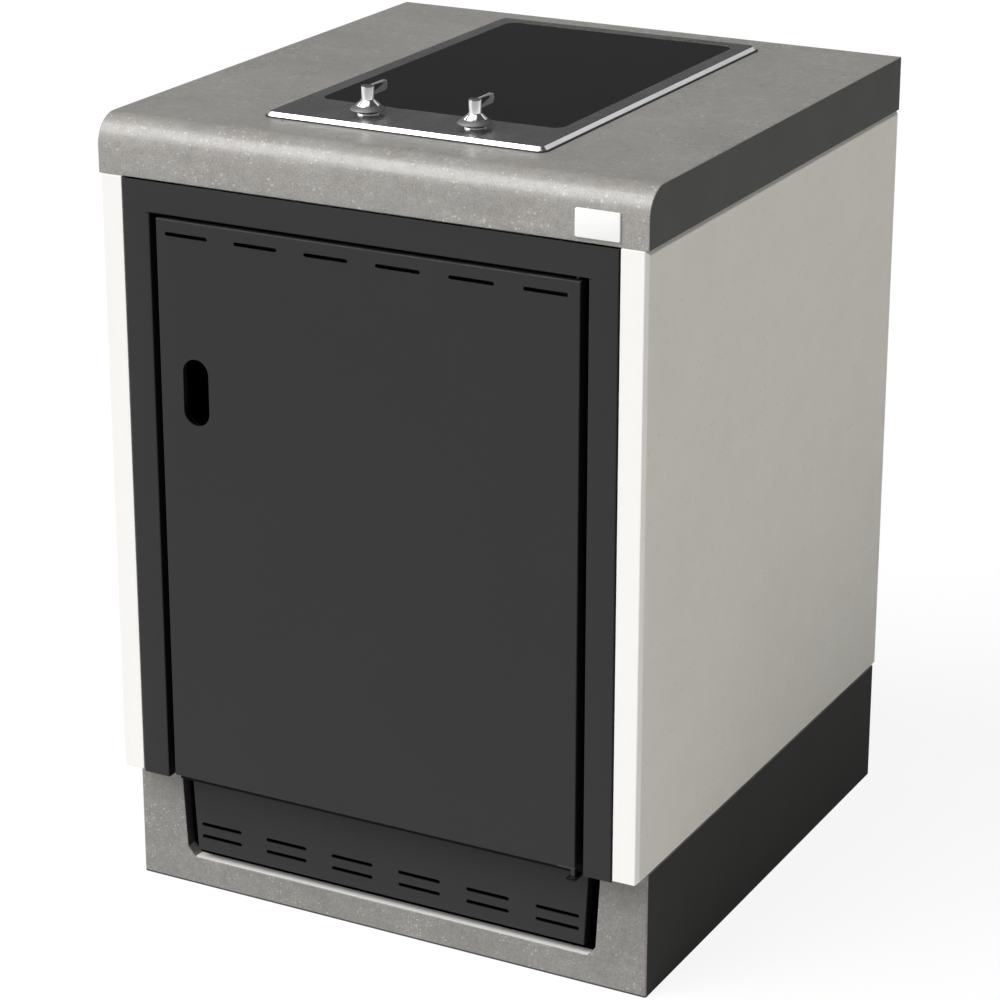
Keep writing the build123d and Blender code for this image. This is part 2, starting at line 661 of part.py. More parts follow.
def catch_magnet():
    return block(MAGNET_X, MAGNET_X + MAGNET_WIDTH, MAGNET_FACE, MAGNET_FACE + 10,
                 CATCH_Z - MAGNET_HEIGHT / 2, CATCH_Z + MAGNET_HEIGHT / 2)


def catch_strike():
    """Steel plate on the back of the door's hem, which the magnet pulls."""
    return block(MAGNET_X, MAGNET_X + MAGNET_WIDTH, DOOR_BACK - SHEET, DOOR_BACK + SHEET,
                 CATCH_Z - STRIKE_HEIGHT / 2, CATCH_Z + STRIKE_HEIGHT / 2)


def door_bumpers():
    """Rubber buttons on the stop flange that the closed door rests against."""
    x = CATCH_X - 4
    buttons = [rod_y(x, z, DOOR_BACK + 0.3, CARCASS_FRONT, BUMPER_RADIUS) for z in BUMPER_HEIGHTS]
    return Compound(children=buttons)


# Hob

def rim_prism(inset, top):
    """The hob's outline from the rim's foot up to a height, drawn in by inset and sloping in."""
    outline = RectangleRounded(HOB_WIDTH - 2 * inset, HOB_DEPTH - 2 * inset, HOB_CORNER - inset)
    return Pos(0, HOB_CENTRE_Y, RIM_FOOT) * extrude(outline, top - RIM_FOOT, taper=RIM_SLOPE)


def hob_plate():
    """Pressed steel frame: sloping rim, sunken window for the glass, two knob holes."""
    t = HOB_SHEET
    centre = (GLASS_FRONT + GLASS_BACK) / 2
    length = GLASS_BACK - GLASS_FRONT
    floor = GLASS_BOTTOM - t
    well = plate_prism(0, centre, GLASS_WIDTH + 2 * t, length + 2 * t, GLASS_CORNER + t, floor, HOB_TOP)
    plate = rim_prism(0, HOB_TOP) - rim_prism(RIM_WALL, HOB_UNDERSIDE) + well
    plate -= plate_prism(0, centre, GLASS_WIDTH, length, GLASS_CORNER, GLASS_BOTTOM, HOB_TOP + 1)
    ledge_width, ledge_length = GLASS_WIDTH - 2 * GLASS_LEDGE, length - 2 * GLASS_LEDGE
    plate -= plate_prism(0, centre, ledge_width, ledge_length, GLASS_CORNER / 2, floor - 1, HOB_TOP)
    for s in SIDES:
        plate -= rod(s * KNOB_SPACING / 2, KNOB_Y, RIM_FOOT, HOB_TOP + 1, NECK_RADIUS)
    return plate


def hob_glass():
    centre = (GLASS_FRONT + GLASS_BACK) / 2
    length = GLASS_BACK - GLASS_FRONT
    return plate_prism(0, centre, GLASS_WIDTH - 2 * GLASS_GAP, length - 2 * GLASS_GAP,
                       GLASS_CORNER - GLASS_GAP, GLASS_BOTTOM, HOB_TOP)


def hob_gasket():
    """Rubber seal under the steel rim, which stands out a little all round."""
    width, depth = HOB_WIDTH + 2 * GASKET_PROUD, HOB_DEPTH + 2 * GASKET_PROUD
    corner = HOB_CORNER + GASKET_PROUD
    hole_width, hole_depth = width - 2 * GASKET_WIDTH, depth - 2 * GASKET_WIDTH
    band = plate_prism(0, HOB_CENTRE_Y, width, depth, corner, WORKTOP_TOP, RIM_FOOT)
    return band - plate_prism(0, HOB_CENTRE_Y, hole_width, hole_depth, 1, WORKTOP_TOP - 1, RIM_FOOT + 1)


def hob_casing():
    """Steel tub under the hob, with air slots in its floor and a hole for the cable gland."""
    x, y0, y1 = CASING_X, CASING_FRONT, CASING_BACK
    w = CASING_WALL
    rim = GLASS_BOTTOM - HOB_SHEET
    tub = block(-x, x, y0, y1, CASING_BOTTOM, rim)
    tub -= block(-x + w, x - w, y0 + w, y1 - w, CASING_BOTTOM + w, rim + 1)
    for y in CASING_SLOT_ROWS:
        for x in (-SLOT_PITCH, 0, SLOT_PITCH):
            tub -= Pos(x, y, CASING_BOTTOM - 1) * extrude(SlotOverall(SLOT_LENGTH, SLOT_HEIGHT), w + 2)
    return tub - rod_y(GLAND_X, GLAND_Z, y1 - 3, y1 + 1, GLAND_RADIUS)


def cable_gland():
    """Strain relief through the casing's rear wall."""
    y1 = CASING_BACK
    body = rod_y(GLAND_X, GLAND_Z, y1 - 8, y1 + 3, GLAND_RADIUS)
    body += rod_y(GLAND_X, GLAND_Z, y1 - 8, y1 - CASING_WALL, GLAND_RADIUS + 3)
    return body - rod_y(GLAND_X, GLAND_Z, y1 - 9, y1 + 4, GLAND_RADIUS - 3)


def heater_dish(y, radius):
    z0, z1 = GLASS_BOTTOM - DISH_DEPTH, GLASS_BOTTOM - 3
    return rod(0, y, z0, z1, radius) - rod(0, y, z0 + 1, z1 + 1, radius - 1)


def heater_insulation(y, radius):
    """Ceramic fibre base with a raised rim pressed against the glass."""
    z0 = GLASS_BOTTOM - DISH_DEPTH + 1
    body = rod(0, y, z0, GLASS_BOTTOM, radius - 1.2)
    return body - rod(0, y, z0 + 14, GLASS_BOTTOM + 1, radius - 13)


def heater_ribbon(y, radius):
    """Corrugated heating strip, laid as a spiral of half turns on the insulation."""
    reach = radius - 20
    step = (reach - 16) / (2 * RIBBON_TURNS)
    arcs = []
    right, left = reach, -reach + step
    for _ in range(RIBBON_TURNS):
        arcs.append(ThreePointArc((right, 0), ((right + left) / 2, (right - left) / 2), (left, 0)))
        next_right = -left - step
        depth = (next_right - left) / 2
        arcs.append(ThreePointArc((left, 0), (left + depth, -depth), (next_right, 0)))
        right, left = next_right, -next_right + step
    path = Wire(arcs)
    z0 = GLASS_BOTTOM - DISH_DEPTH + 15
    profile = Plane(origin=path @ 0, x_dir=(0, 0, 1), z_dir=path % 0) * Rectangle(RIBBON_HEIGHT, RIBBON_WIDTH)
    return Pos(0, y, z0 + RIBBON_HEIGHT / 2) * sweep(profile, path)


def temperature_limiters():
    """Thermostat rod across each zone, just under the glass."""
    z = GLASS_BOTTOM - 6
    return Compound(children=[rod_x(y, z, -radius + 14, radius - 14, 2) for _, y, radius in ZONES])


def heater_bridges():
    """Cross rails over the casing floor that carry the heating zones on springs."""
    x = CASING_X - CASING_WALL
    z0, z1 = BRIDGE_TOP - BRIDGE_HEIGHT, BRIDGE_TOP
    half = BRIDGE_WIDTH / 2
    rails = []
    for _, y, _ in ZONES:
        rail = block(-x, x, y - half, y + half, z0, z1)
        rails.append(rail - block(-x - 1, x + 1, y - half + 1, y + half - 1, z0 - 1, z1 - 1))
    return Compound(children=rails)


def heater_springs():
    """Bowed leaf springs between each rail and its dish."""
    springs = []
    low = BRIDGE_TOP + SPRING_SHEET
    high = GLASS_BOTTOM - DISH_DEPTH - SPRING_SHEET
    for _, y, _ in ZONES:
        for s in SIDES:
            x = s * SPRING_X
            arc = ThreePointArc((x - SPRING_SPAN / 2, low), (x, high), (x + SPRING_SPAN / 2, low))
            strip = Plane.XZ.offset(-y - SPRING_WIDTH / 2) * trace(arc, SPRING_SHEET)
            springs.append(extrude(strip, SPRING_WIDTH))
    return Compound(children=springs)


def regulator(side):
    """Switch body under the knob, with a threaded neck through the steel plate."""
    x = side * KNOB_SPACING / 2
    half = REGULATOR_HALF
    body = block(x - half, x + half, KNOB_Y - half, KNOB_Y + half, REGULATOR_BOTTOM, REGULATOR_TOP)
    body += rod(x, KNOB_Y, REGULATOR_TOP - 1, HOB_TOP + COLLAR_HEIGHT - 0.6, NECK_RADIUS)
    body -= rod(x, KNOB_Y, REGULATOR_BOTTOM + 2, HOB_TOP + 10, SPINDLE_RADIUS + RUNNING_GAP)
    return body - rod(x, KNOB_Y, REGULATOR_BOTTOM + 8, REGULATOR_BOTTOM + 20, CAM_RADIUS + 0.4)


def spindle(side):
    """Turned shaft with the cam that it carries inside the regulator."""
    x = side * KNOB_SPACING / 2
    shaft = rod(x, KNOB_Y, REGULATOR_BOTTOM + 2.5, HOB_TOP + SOCKET_TOP, SPINDLE_RADIUS)
    return shaft + rod(x, KNOB_Y, REGULATOR_BOTTOM + 8.5, REGULATOR_BOTTOM + 19.5, CAM_RADIUS)


def knob_collars():
    """Polished rings fixed to the steel plate round the spindles."""
    rings = []
    for side in SIDES:
        x = side * KNOB_SPACING / 2
        body = ring(x, KNOB_Y, HOB_TOP, HOB_TOP + COLLAR_HEIGHT, COLLAR_RADIUS, NECK_RADIUS)
        rim = body.edges().filter_by(GeomType.CIRCLE).group_by(Axis.Z)[-1].sort_by(SortBy.RADIUS)[-1]
        rings.append(chamfer(rim, 0.8))
    return Compound(children=rings)


def turned(side, profile):
    """Solid of revolution about a knob's axis, from radius and height pairs above the hob."""
    points = [(r, HOB_TOP + h) for r, h in profile]
    face = Plane.XZ * make_face(Polyline(points, close=True))
    return Pos(side * KNOB_SPACING / 2, KNOB_Y, 0) * revolve(face, Axis.Z)


def knob_body(side):
    """Turned post on a cone, with a lever from its top that points to the back when off."""
    low = CONE_BASE - CONE_RIM
    body = turned(side, [(0, HUB_BASE), (HUB_RADIUS, HUB_BASE), (HUB_RADIUS, low), (CONE_RADIUS - CONE_EDGE, low),
                         (CONE_RADIUS, low + CONE_EDGE), (CONE_RADIUS, CONE_BASE), (POST_RADIUS, POST_BASE),
                         (POST_RADIUS, POST_TOP - POST_EDGE), (POST_RADIUS - POST_EDGE, POST_TOP), (0, POST_TOP)])
    socket = rod(side * KNOB_SPACING / 2, KNOB_Y, HOB_TOP, HOB_TOP + SOCKET_TOP, SPINDLE_RADIUS)
    return body + lever(side) - socket


def lever(side):
    """Flat paddle with a rounded end and a curved web under it."""
    top, low, r = POST_TOP - 0.4, POST_TOP - LEVER_HEIGHT, LEVER_ROUND
    end, web = LEVER_REACH, LEVER_WEB
    line = Polyline((0, low - web), (POST_RADIUS, low - web))
    line += ThreePointArc((POST_RADIUS, low - web), (POST_RADIUS + 1.2, low - 1.2), (POST_RADIUS + web, low))
    line += Line((POST_RADIUS + web, low), (end - r, low))
    line += ThreePointArc((end - r, low), (end - r + 0.707 * r, low + 0.293 * r), (end, low + r))
    line += Line((end, low + r), (end, top - r))
    line += ThreePointArc((end, top - r), (end - r + 0.707 * r, top - 0.293 * r), (end - r, top))
    line += Polyline((end - r, top), (0, top), (0, low - web))
    paddle = extrude(Plane.YZ * make_face(line), LEVER_THICKNESS / 2, both=True)
    return Pos(side * KNOB_SPACING / 2, KNOB_Y, HOB_TOP) * paddle


def knob_skirt(side):
    """Satin dished ring clamped under the knob's cone."""
    top = CONE_BASE - CONE_RIM
    low = top - 1.2
    return turned(side, [(HUB_RADIUS, low), (CONE_RADIUS, low), (SKIRT_RADIUS - 1, SKIRT_RIM),
                         (SKIRT_RADIUS, SKIRT_RIM), (SKIRT_RADIUS, SKIRT_RIM + 1), (CONE_RADIUS + 0.6, top),
                         (HUB_RADIUS, top)])


def clamp_places():
    return [(s, y) for s in SIDES for y in CLAMP_Y]


def hob_clamps():
    """Angle clamps on the casing that hook under the worktop."""
    x, z0 = CASING_X, CLAMP_BOTTOM
    half = CLAMP_WIDTH / 2
    clamps = []
    for s, y in clamp_places():
        strap = side_block(s, x, x + SHEET, y - half, y + half, z0, CLAMP_TOP)
        foot = side_block(s, x, x + CLAMP_REACH, y - half, y + half, z0, z0 + SHEET)
        hole = rod(s * clamp_screw_x(), y, z0 - 1, z0 + SHEET + 1, CLAMP_SCREW_RADIUS)
        clamps.append(strap + foot - hole)
    return Compound(children=clamps)


def clamp_screw_x():
    return CASING_X + CLAMP_REACH - 9


def hob_clamp_screws():
    low = CLAMP_BOTTOM - 5
    screws = []
    for s, y in clamp_places():
        x = s * clamp_screw_x()
        shank = rod(x, y, low, SLAB_BOTTOM, CLAMP_SCREW_RADIUS)
        screws.append(shank + rod(x, y, low - BOLT_HEAD_HEIGHT, low, 2 * CLAMP_SCREW_RADIUS))
    return Compound(children=screws)


def terminal_block():
    """Mains terminals on the casing floor, between the regulators, with three wire entries."""
    z0 = CASING_BOTTOM + CASING_WALL
    z1 = z0 + TERMINAL_HEIGHT
    y0, y1 = KNOB_Y - TERMINAL_DEPTH / 2, KNOB_Y + TERMINAL_DEPTH / 2
    body = block(-TERMINAL_WIDTH / 2, TERMINAL_WIDTH / 2, y0, y1, z0, z1)
    for x in (-TERMINAL_PITCH, 0, TERMINAL_PITCH):
        body -= rod(x, KNOB_Y - 5, z0 + 8, z1 + 1, 3.5)
        body -= rod_y(x, z0 + 5, KNOB_Y - 1, y1 + 1, 2.5)
    return body


def build():
    nodes = {
        "worktop": worktop(),
        "name_plate": name_plate(),
        "plinth": plinth(),
        "panel_packers": panel_packers(),
        "carcass_back": carcass_back(),
        "carcass_floor": carcass_floor(),
        "front_top_rail": top_rail(FRONT_RAIL_Y),
        "rear_top_rail": top_rail(REAR_RAIL_Y),
        "worktop_screws": worktop_screws(),
        "panel_spacers": panel_spacers(),
        "side_panel_bolts": side_panel_bolts(),
        "back_screws": back_screws(),
        "cable_grommet": cable_grommet(),
        "face_frame": face_frame(),
        "kick_panel": kick_panel(),
        "kick_brackets": kick_brackets(),
        "kick_nuts": kick_nuts(),
        "door_skin": door_skin(),
        "door_liner": door_liner(),
        "door_stiffeners": door_stiffeners(),
        "door_pivot_blocks": door_pivot_blocks(),
        "lower_hinge_pin": lower_pin(),
        "upper_hinge_pin": upper_pin(),
        "hinge_tab": hinge_tab(),
        "lower_hinge_bush": flanged_bush(TAB_TOP - TAB_THICKNESS, TAB_TOP, TAB_TOP),
        "upper_hinge_bush": flanged_bush(OPENING_TOP, OPENING_TOP + 4, OPENING_TOP - BUSH_FLANGE),
        "catch_body": catch_body(),
        "catch_magnet": catch_magnet(),
        "catch_strike": catch_strike(),
        "door_bumpers": door_bumpers(),
        "hob_plate": hob_plate(),
        "knob_collars": knob_collars(),
        "temperature_limiters": temperature_limiters(),
        "hob_glass": hob_glass(),
        "hob_gasket": hob_gasket(),
        "hob_casing": hob_casing(),
        "cable_gland": cable_gland(),
        "heater_bridges": heater_bridges(),
        "heater_springs": heater_springs(),
        "hob_clamps": hob_clamps(),
        "hob_clamp_screws": hob_clamp_screws(),
        "terminal_block": terminal_block(),
    }
    for name, side in (("left", -1), ("right", 1)):
        nodes["side_panel_" + name] = side_panel(side)
        nodes["carcass_side_" + name] = carcass_side(side)
        nodes["regulator_" + name] = regulator(side)
        nodes["spindle_" + name] = spindle(side)
        nodes["knob_" + name] = knob_body(side)
        nodes["knob_skirt_" + name] = knob_skirt(side)
    for name, y, radius in ZONES:
        nodes[name + "_zone_dish"] = heater_dish(y, radius)
        nodes[name + "_zone_insulation"] = heater_insulation(y, radius)
        nodes[name + "_zone_ribbon"] = heater_ribbon(y, radius)
    return nodes


if __name__ == "__main__":
    os.makedirs("parts", exist_ok=True)
    for node, shape in build().items():
        export_step(shape, "parts/" + node + ".step")
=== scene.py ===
import math

import bmesh
import bpy
from mathutils import Matrix, Vector


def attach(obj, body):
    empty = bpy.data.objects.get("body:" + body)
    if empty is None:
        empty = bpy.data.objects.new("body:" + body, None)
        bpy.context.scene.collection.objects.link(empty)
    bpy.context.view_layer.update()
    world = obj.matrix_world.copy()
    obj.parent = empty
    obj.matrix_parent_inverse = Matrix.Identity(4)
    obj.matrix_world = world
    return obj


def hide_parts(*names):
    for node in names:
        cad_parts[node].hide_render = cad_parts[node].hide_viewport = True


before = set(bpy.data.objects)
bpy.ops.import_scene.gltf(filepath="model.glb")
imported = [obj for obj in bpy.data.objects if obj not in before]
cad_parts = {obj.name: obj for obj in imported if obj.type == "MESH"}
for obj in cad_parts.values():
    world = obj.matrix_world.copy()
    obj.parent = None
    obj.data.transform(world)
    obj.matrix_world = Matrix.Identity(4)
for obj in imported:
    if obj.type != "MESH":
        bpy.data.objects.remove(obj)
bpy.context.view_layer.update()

# Hob base unit: stone worktop, plinth and side panels round a steel carcass with one pivoted door.
# Everything is in metres, X to the right, Y to the back and Z up from the floor. The sizes and profiles
# of the pieces are written in millimetres, and MM turns them into metres.
MM = 0.001
SIDES = (-1, 1)
HOB_TOP = 905.5
KNOB_X = 64
KNOB_Y = -207
X_AXIS = Vector((1, 0, 0))
Y_AXIS = Vector((0, 1, 0))
Z_AXIS = Vector((0, 0, 1))


# Camera at the photograph's place

# Its turn to the right of the front, its drop below level and its roll are in degrees.
CAMERA_PLACE = (1.6288, -3.1055, 1.7215)
CAMERA_TURN = 27.86
CAMERA_DROP = 19.604
CAMERA_ROLL = 0.07


def place_camera():
    lens = bpy.data.cameras.new("photo_camera")
    lens.lens = 117.37
    lens.sensor_width = 36
    lens.shift_x = -0.0026
    lens.shift_y = -0.0478
    camera = bpy.data.objects.new("photo_camera", lens)
    turn = Matrix.Rotation(math.radians(CAMERA_TURN), 4, "Z")
    tilt = Matrix.Rotation(math.radians(90 - CAMERA_DROP), 4, "X")
    roll = Matrix.Rotation(math.radians(CAMERA_ROLL), 4, "Z")
    camera.matrix_world = Matrix.Translation(CAMERA_PLACE) @ turn @ tilt @ roll
    bpy.context.scene.collection.objects.link(camera)
    bpy.context.scene.camera = camera


place_camera()


# Shader building

def put(tree, kind, inputs=None, **settings):
    """Adds a node. inputs gives a socket a number, a colour or another node's output."""
    node = tree.nodes.new(kind)
    for name, value in settings.items():
        setattr(node, name, value)
    for name, value in (inputs or {}).items():
        socket = node.inputs[name]
        if isinstance(value, bpy.types.NodeSocket):
            tree.links.new(value, socket)
        else:
            socket.default_value = value
    return node


def calc(tree, operation, a, b=0.0, c=0.0, clamp=False):
    node = put(tree, "ShaderNodeMath", {0: a, 1: b, 2: c}, operation=operation, use_clamp=clamp)
    return node.outputs[0]


def span(tree, value, low, high, to_low=0.0, to_high=1.0, smooth=True):
    """Maps low..high to to_low..to_high, held at both ends."""
    kind = "SMOOTHSTEP" if smooth else "LINEAR"
    node = put(tree, "ShaderNodeMapRange", {0: value, 1: low, 2: high, 3: to_low, 4: to_high},
               interpolation_type=kind)
    return node.outputs[0]


def blend_colour(tree, share, a, b, way="MIX"):
    node = put(tree, "ShaderNodeMix", {0: share, 6: a, 7: b}, data_type="RGBA", blend_type=way)
    return node.outputs[2]


def scaled(tree, vector, factors):
    """The vector times three numbers, one for each axis."""
    node = put(tree, "ShaderNodeVectorMath", {0: vector, 1: factors}, operation="MULTIPLY")
    return node.outputs[0]


def over(tree, vector, size):
    """The vector divided by a size socket."""
    joined = put(tree, "ShaderNodeCombineXYZ", {"X": size, "Y": size, "Z": size})
    node = put(tree, "ShaderNodeVectorMath", {0: vector, 1: joined.outputs[0]}, operation="DIVIDE")
    return node.outputs[0]


def clouds(tree, vector, detail=4.0, roughness=0.55):
    """Noise between 0 and 1, centred on 0.5."""
    node = put(tree, "ShaderNodeTexNoise", {"Vector": vector, "Scale": 1.0, "Detail": detail,
                                            "Roughness": roughness})
    return node.outputs["Fac"]


def about_one(tree, noise, contrast):
    """Turns noise about 0.5 into a tone about 1."""
    spread = calc(tree, "MULTIPLY", calc(tree, "SUBTRACT", noise, 0.5), contrast)
    return calc(tree, "MULTIPLY_ADD", spread, 2.0, 1.0)


def effect(name, inputs, outputs):
    """An empty shader group with named inputs and outputs: its tree, what it is given and its result."""
    tree = bpy.data.node_groups.new(name, "ShaderNodeTree")
    for label, kind, value in inputs:
        socket = tree.interface.new_socket(label, in_out="INPUT", socket_type=kind)
        if value is not None:
            socket.default_value = value
    for label in outputs:
        tree.interface.new_socket(label, in_out="OUTPUT", socket_type="NodeSocketFloat")
    source = tree.nodes.new("NodeGroupInput")
    result = tree.nodes.new("NodeGroupOutput")
    return tree, source.outputs, result.inputs


NUMBER = "NodeSocketFloat"
VECTOR = "NodeSocketVector"
CLOUD_GAIN = 2.6


def trowel_clouds():
    """Cloudy tone of cast stone, with streaks along X where the face was trowelled."""
    inputs = [("Vector", VECTOR, None), ("Cloud Size", NUMBER, 0.12), ("Streak Size", NUMBER, 0.03),
              ("Streaks", NUMBER, 0.5), ("Contrast", NUMBER, 0.1)]
    tree, given, result = effect("trowel_clouds", inputs, ["Tone"])
    cloud = clouds(tree, over(tree, given["Vector"], given["Cloud Size"]), 5.0, 0.6)
    drawn = over(tree, scaled(tree, given["Vector"], (0.16, 1.0, 1.0)), given["Streak Size"])
    streak = clouds(tree, drawn, 5.0, 0.62)
    cloud = calc(tree, "MULTIPLY", calc(tree, "SUBTRACT", cloud, 0.5), CLOUD_GAIN)
    streak = calc(tree, "MULTIPLY", calc(tree, "SUBTRACT", streak, 0.5), CLOUD_GAIN)
    streak = calc(tree, "MULTIPLY", streak, given["Streaks"])
    both = calc(tree, "MULTIPLY", calc(tree, "ADD", cloud, streak), given["Contrast"])
    tree.links.new(calc(tree, "ADD", both, 1.0), result["Tone"])
    return tree


def mineral_specks():
    """Small grains of another shade, thrown over the surface in loose patches."""
    inputs = [("Vector", VECTOR, None), ("Grain Size", NUMBER, 0.001), ("Share", NUMBER, 0.2),
              ("Patch Size", NUMBER, 0.02)]
    tree, given, result = effect("mineral_specks", inputs, ["Mask"])
    cells = put(tree, "ShaderNodeTexVoronoi",
                {"Vector": over(tree, given["Vector"], given["Grain Size"]), "Scale": 1.0})
    drawn = put(tree, "ShaderNodeSeparateColor", {"Color": cells.outputs["Color"]})
    patch = clouds(tree, over(tree, given["Vector"], given["Patch Size"]), 3.0)
    patch = span(tree, patch, 0.38, 0.66, 0.15, 1.8)
    chance = calc(tree, "MULTIPLY", given["Share"], patch)
    chosen = calc(tree, "LESS_THAN", drawn.outputs["Red"], chance)
    reach = calc(tree, "MULTIPLY_ADD", drawn.outputs["Green"], 0.3, 0.2)
    size = calc(tree, "SUBTRACT", reach, cells.outputs["Distance"])
    edge = span(tree, size, 0.0, 0.12)
    tree.links.new(calc(tree, "MULTIPLY", edge, chosen), result["Mask"])
    return tree


def fine_relief():
    """Height of a grainy or orange-peel surface, and the same as a tone about 1."""
    inputs = [("Vector", VECTOR, None), ("Grain Size", NUMBER, 0.001), ("Contrast", NUMBER, 0.05)]
    tree, given, result = effect("fine_relief", inputs, ["Height", "Tone"])
    grain = clouds(tree, over(tree, given["Vector"], given["Grain Size"]), 2.0, 0.5)
    tree.links.new(grain, result["Height"])
    tree.links.new(about_one(tree, grain, given["Contrast"]), result["Tone"])
    return tree


def edge_wear_and_highlight():
    """Rounded arrises of a square-built piece, broken up by noise: where it is rubbed, and where a lighter
    tint paints a highlight.
    """
    inputs = [("Vector", VECTOR, None), ("Normal", VECTOR, None), ("Break Size", NUMBER, 0.006)]
    tree, given, result = effect("edge_wear_and_highlight", inputs, ["Mask"])
    steep = put(tree, "ShaderNodeVectorMath", {0: given["Normal"]}, operation="ABSOLUTE")
    parts = put(tree, "ShaderNodeSeparateXYZ", {0: steep.outputs[0]})
    largest = calc(tree, "MAXIMUM", parts.outputs[1], parts.outputs[2])
    largest = calc(tree, "MAXIMUM", parts.outputs[0], largest)
    slanted = span(tree, largest, 0.99, 0.8)
    noise = clouds(tree, over(tree, given["Vector"], given["Break Size"]))
    broken = span(tree, noise, 0.35, 0.6, 0.25, 1.0)
    tree.links.new(calc(tree, "MULTIPLY", slanted, broken), result["Mask"])
    return tree


def settled_dust():
    """A thin uneven film on what faces up."""
    inputs = [("Vector", VECTOR, None), ("Normal", VECTOR, None), ("Patch Size", NUMBER, 0.08)]
    tree, given, result = effect("settled_dust", inputs, ["Mask"])
    parts = put(tree, "ShaderNodeSeparateXYZ", {0: given["Normal"]})
    up = span(tree, parts.outputs[2], 0.6, 1.0)
    noise = clouds(tree, over(tree, given["Vector"], given["Patch Size"]), 6.0, 0.7)
    patch = span(tree, noise, 0.35, 0.75)
    tree.links.new(calc(tree, "MULTIPLY", up, patch), result["Mask"])
    return tree


def hand_marks():
    """Faint wiped patches, for roughness."""
    inputs = [("Vector", VECTOR, None), ("Patch Size", NUMBER, 0.06)]
    tree, given, result = effect("hand_marks", inputs, ["Mask"])
    wiped = over(tree, scaled(tree, given["Vector"], (1.0, 0.45, 0.7)), given["Patch Size"])
    tree.links.new(span(tree, clouds(tree, wiped, 6.0, 0.65), 0.42, 0.7), result["Mask"])
    return tree


def brush_lines():
    """Fine parallel scratches along X, as height and as a tone about 1."""
    inputs = [("Vector", VECTOR, None), ("Line Width", NUMBER, 0.0004), ("Contrast", NUMBER, 0.1)]
    tree, given, result = effect("brush_lines", inputs, ["Height", "Tone"])
    drawn = over(tree, scaled(tree, given["Vector"], (0.012, 1.0, 1.0)), given["Line Width"])
    lines = clouds(tree, drawn, 3.0, 0.6)
    tree.links.new(lines, result["Height"])
    tree.links.new(about_one(tree, lines, given["Contrast"]), result["Tone"])
    return tree


def turning_lines():
    """Fine rings round the knobs' axes, as a tone about 1. The two axes are alike on both sides of X = 0."""
    inputs = [("Vector", VECTOR, None), ("Axis X", NUMBER, KNOB_X * MM), ("Axis Y", NUMBER, KNOB_Y * MM),
              ("Line Width", NUMBER, 0.0003), ("Contrast", NUMBER, 0.1)]
    tree, given, result = effect("turning_lines", inputs, ["Tone"])
    parts = put(tree, "ShaderNodeSeparateXYZ", {0: given["Vector"]})
    across = calc(tree, "SUBTRACT", calc(tree, "ABSOLUTE", parts.outputs[0]), given["Axis X"])
    along = calc(tree, "SUBTRACT", parts.outputs[1], given["Axis Y"])
    squares = calc(tree, "MULTIPLY_ADD", across, across, calc(tree, "MULTIPLY", along, along))
    radius = calc(tree, "SQRT", squares)
    drawn = put(tree, "ShaderNodeCombineXYZ", {"X": calc(tree, "DIVIDE", radius, given["Line Width"])})
    lines = clouds(tree, drawn.outputs[0], 2.0)
    tree.links.new(about_one(tree, lines, given["Contrast"]), result["Tone"])
    return tree


def facing():
    """Where the surface looks along a direction, or with Both Ways at 1 along it or against it."""
    inputs = [("Normal", VECTOR, None), ("Direction", VECTOR, None), ("Both Ways", NUMBER, 0.0),
              ("Low", NUMBER, 0.5), ("High", NUMBER, 0.9)]
    tree, given, result = effect("facing", inputs, ["Mask"])
    along = put(tree, "ShaderNodeVectorMath", {0: given["Normal"], 1: given["Direction"]},
                operation="DOT_PRODUCT").outputs["Value"]
    either = calc(tree, "MULTIPLY", calc(tree, "ABSOLUTE", along), given["Both Ways"])
    along = calc(tree, "MAXIMUM", along, either)
    tree.links.new(span(tree, along, given["Low"], given["High"]), result["Mask"])
    return tree


EFFECTS = {make.__name__: make()
           for make in (trowel_clouds, mineral_specks, fine_relief, edge_wear_and_highlight, settled_dust, hand_marks,
                        brush_lines, turning_lines, facing)}


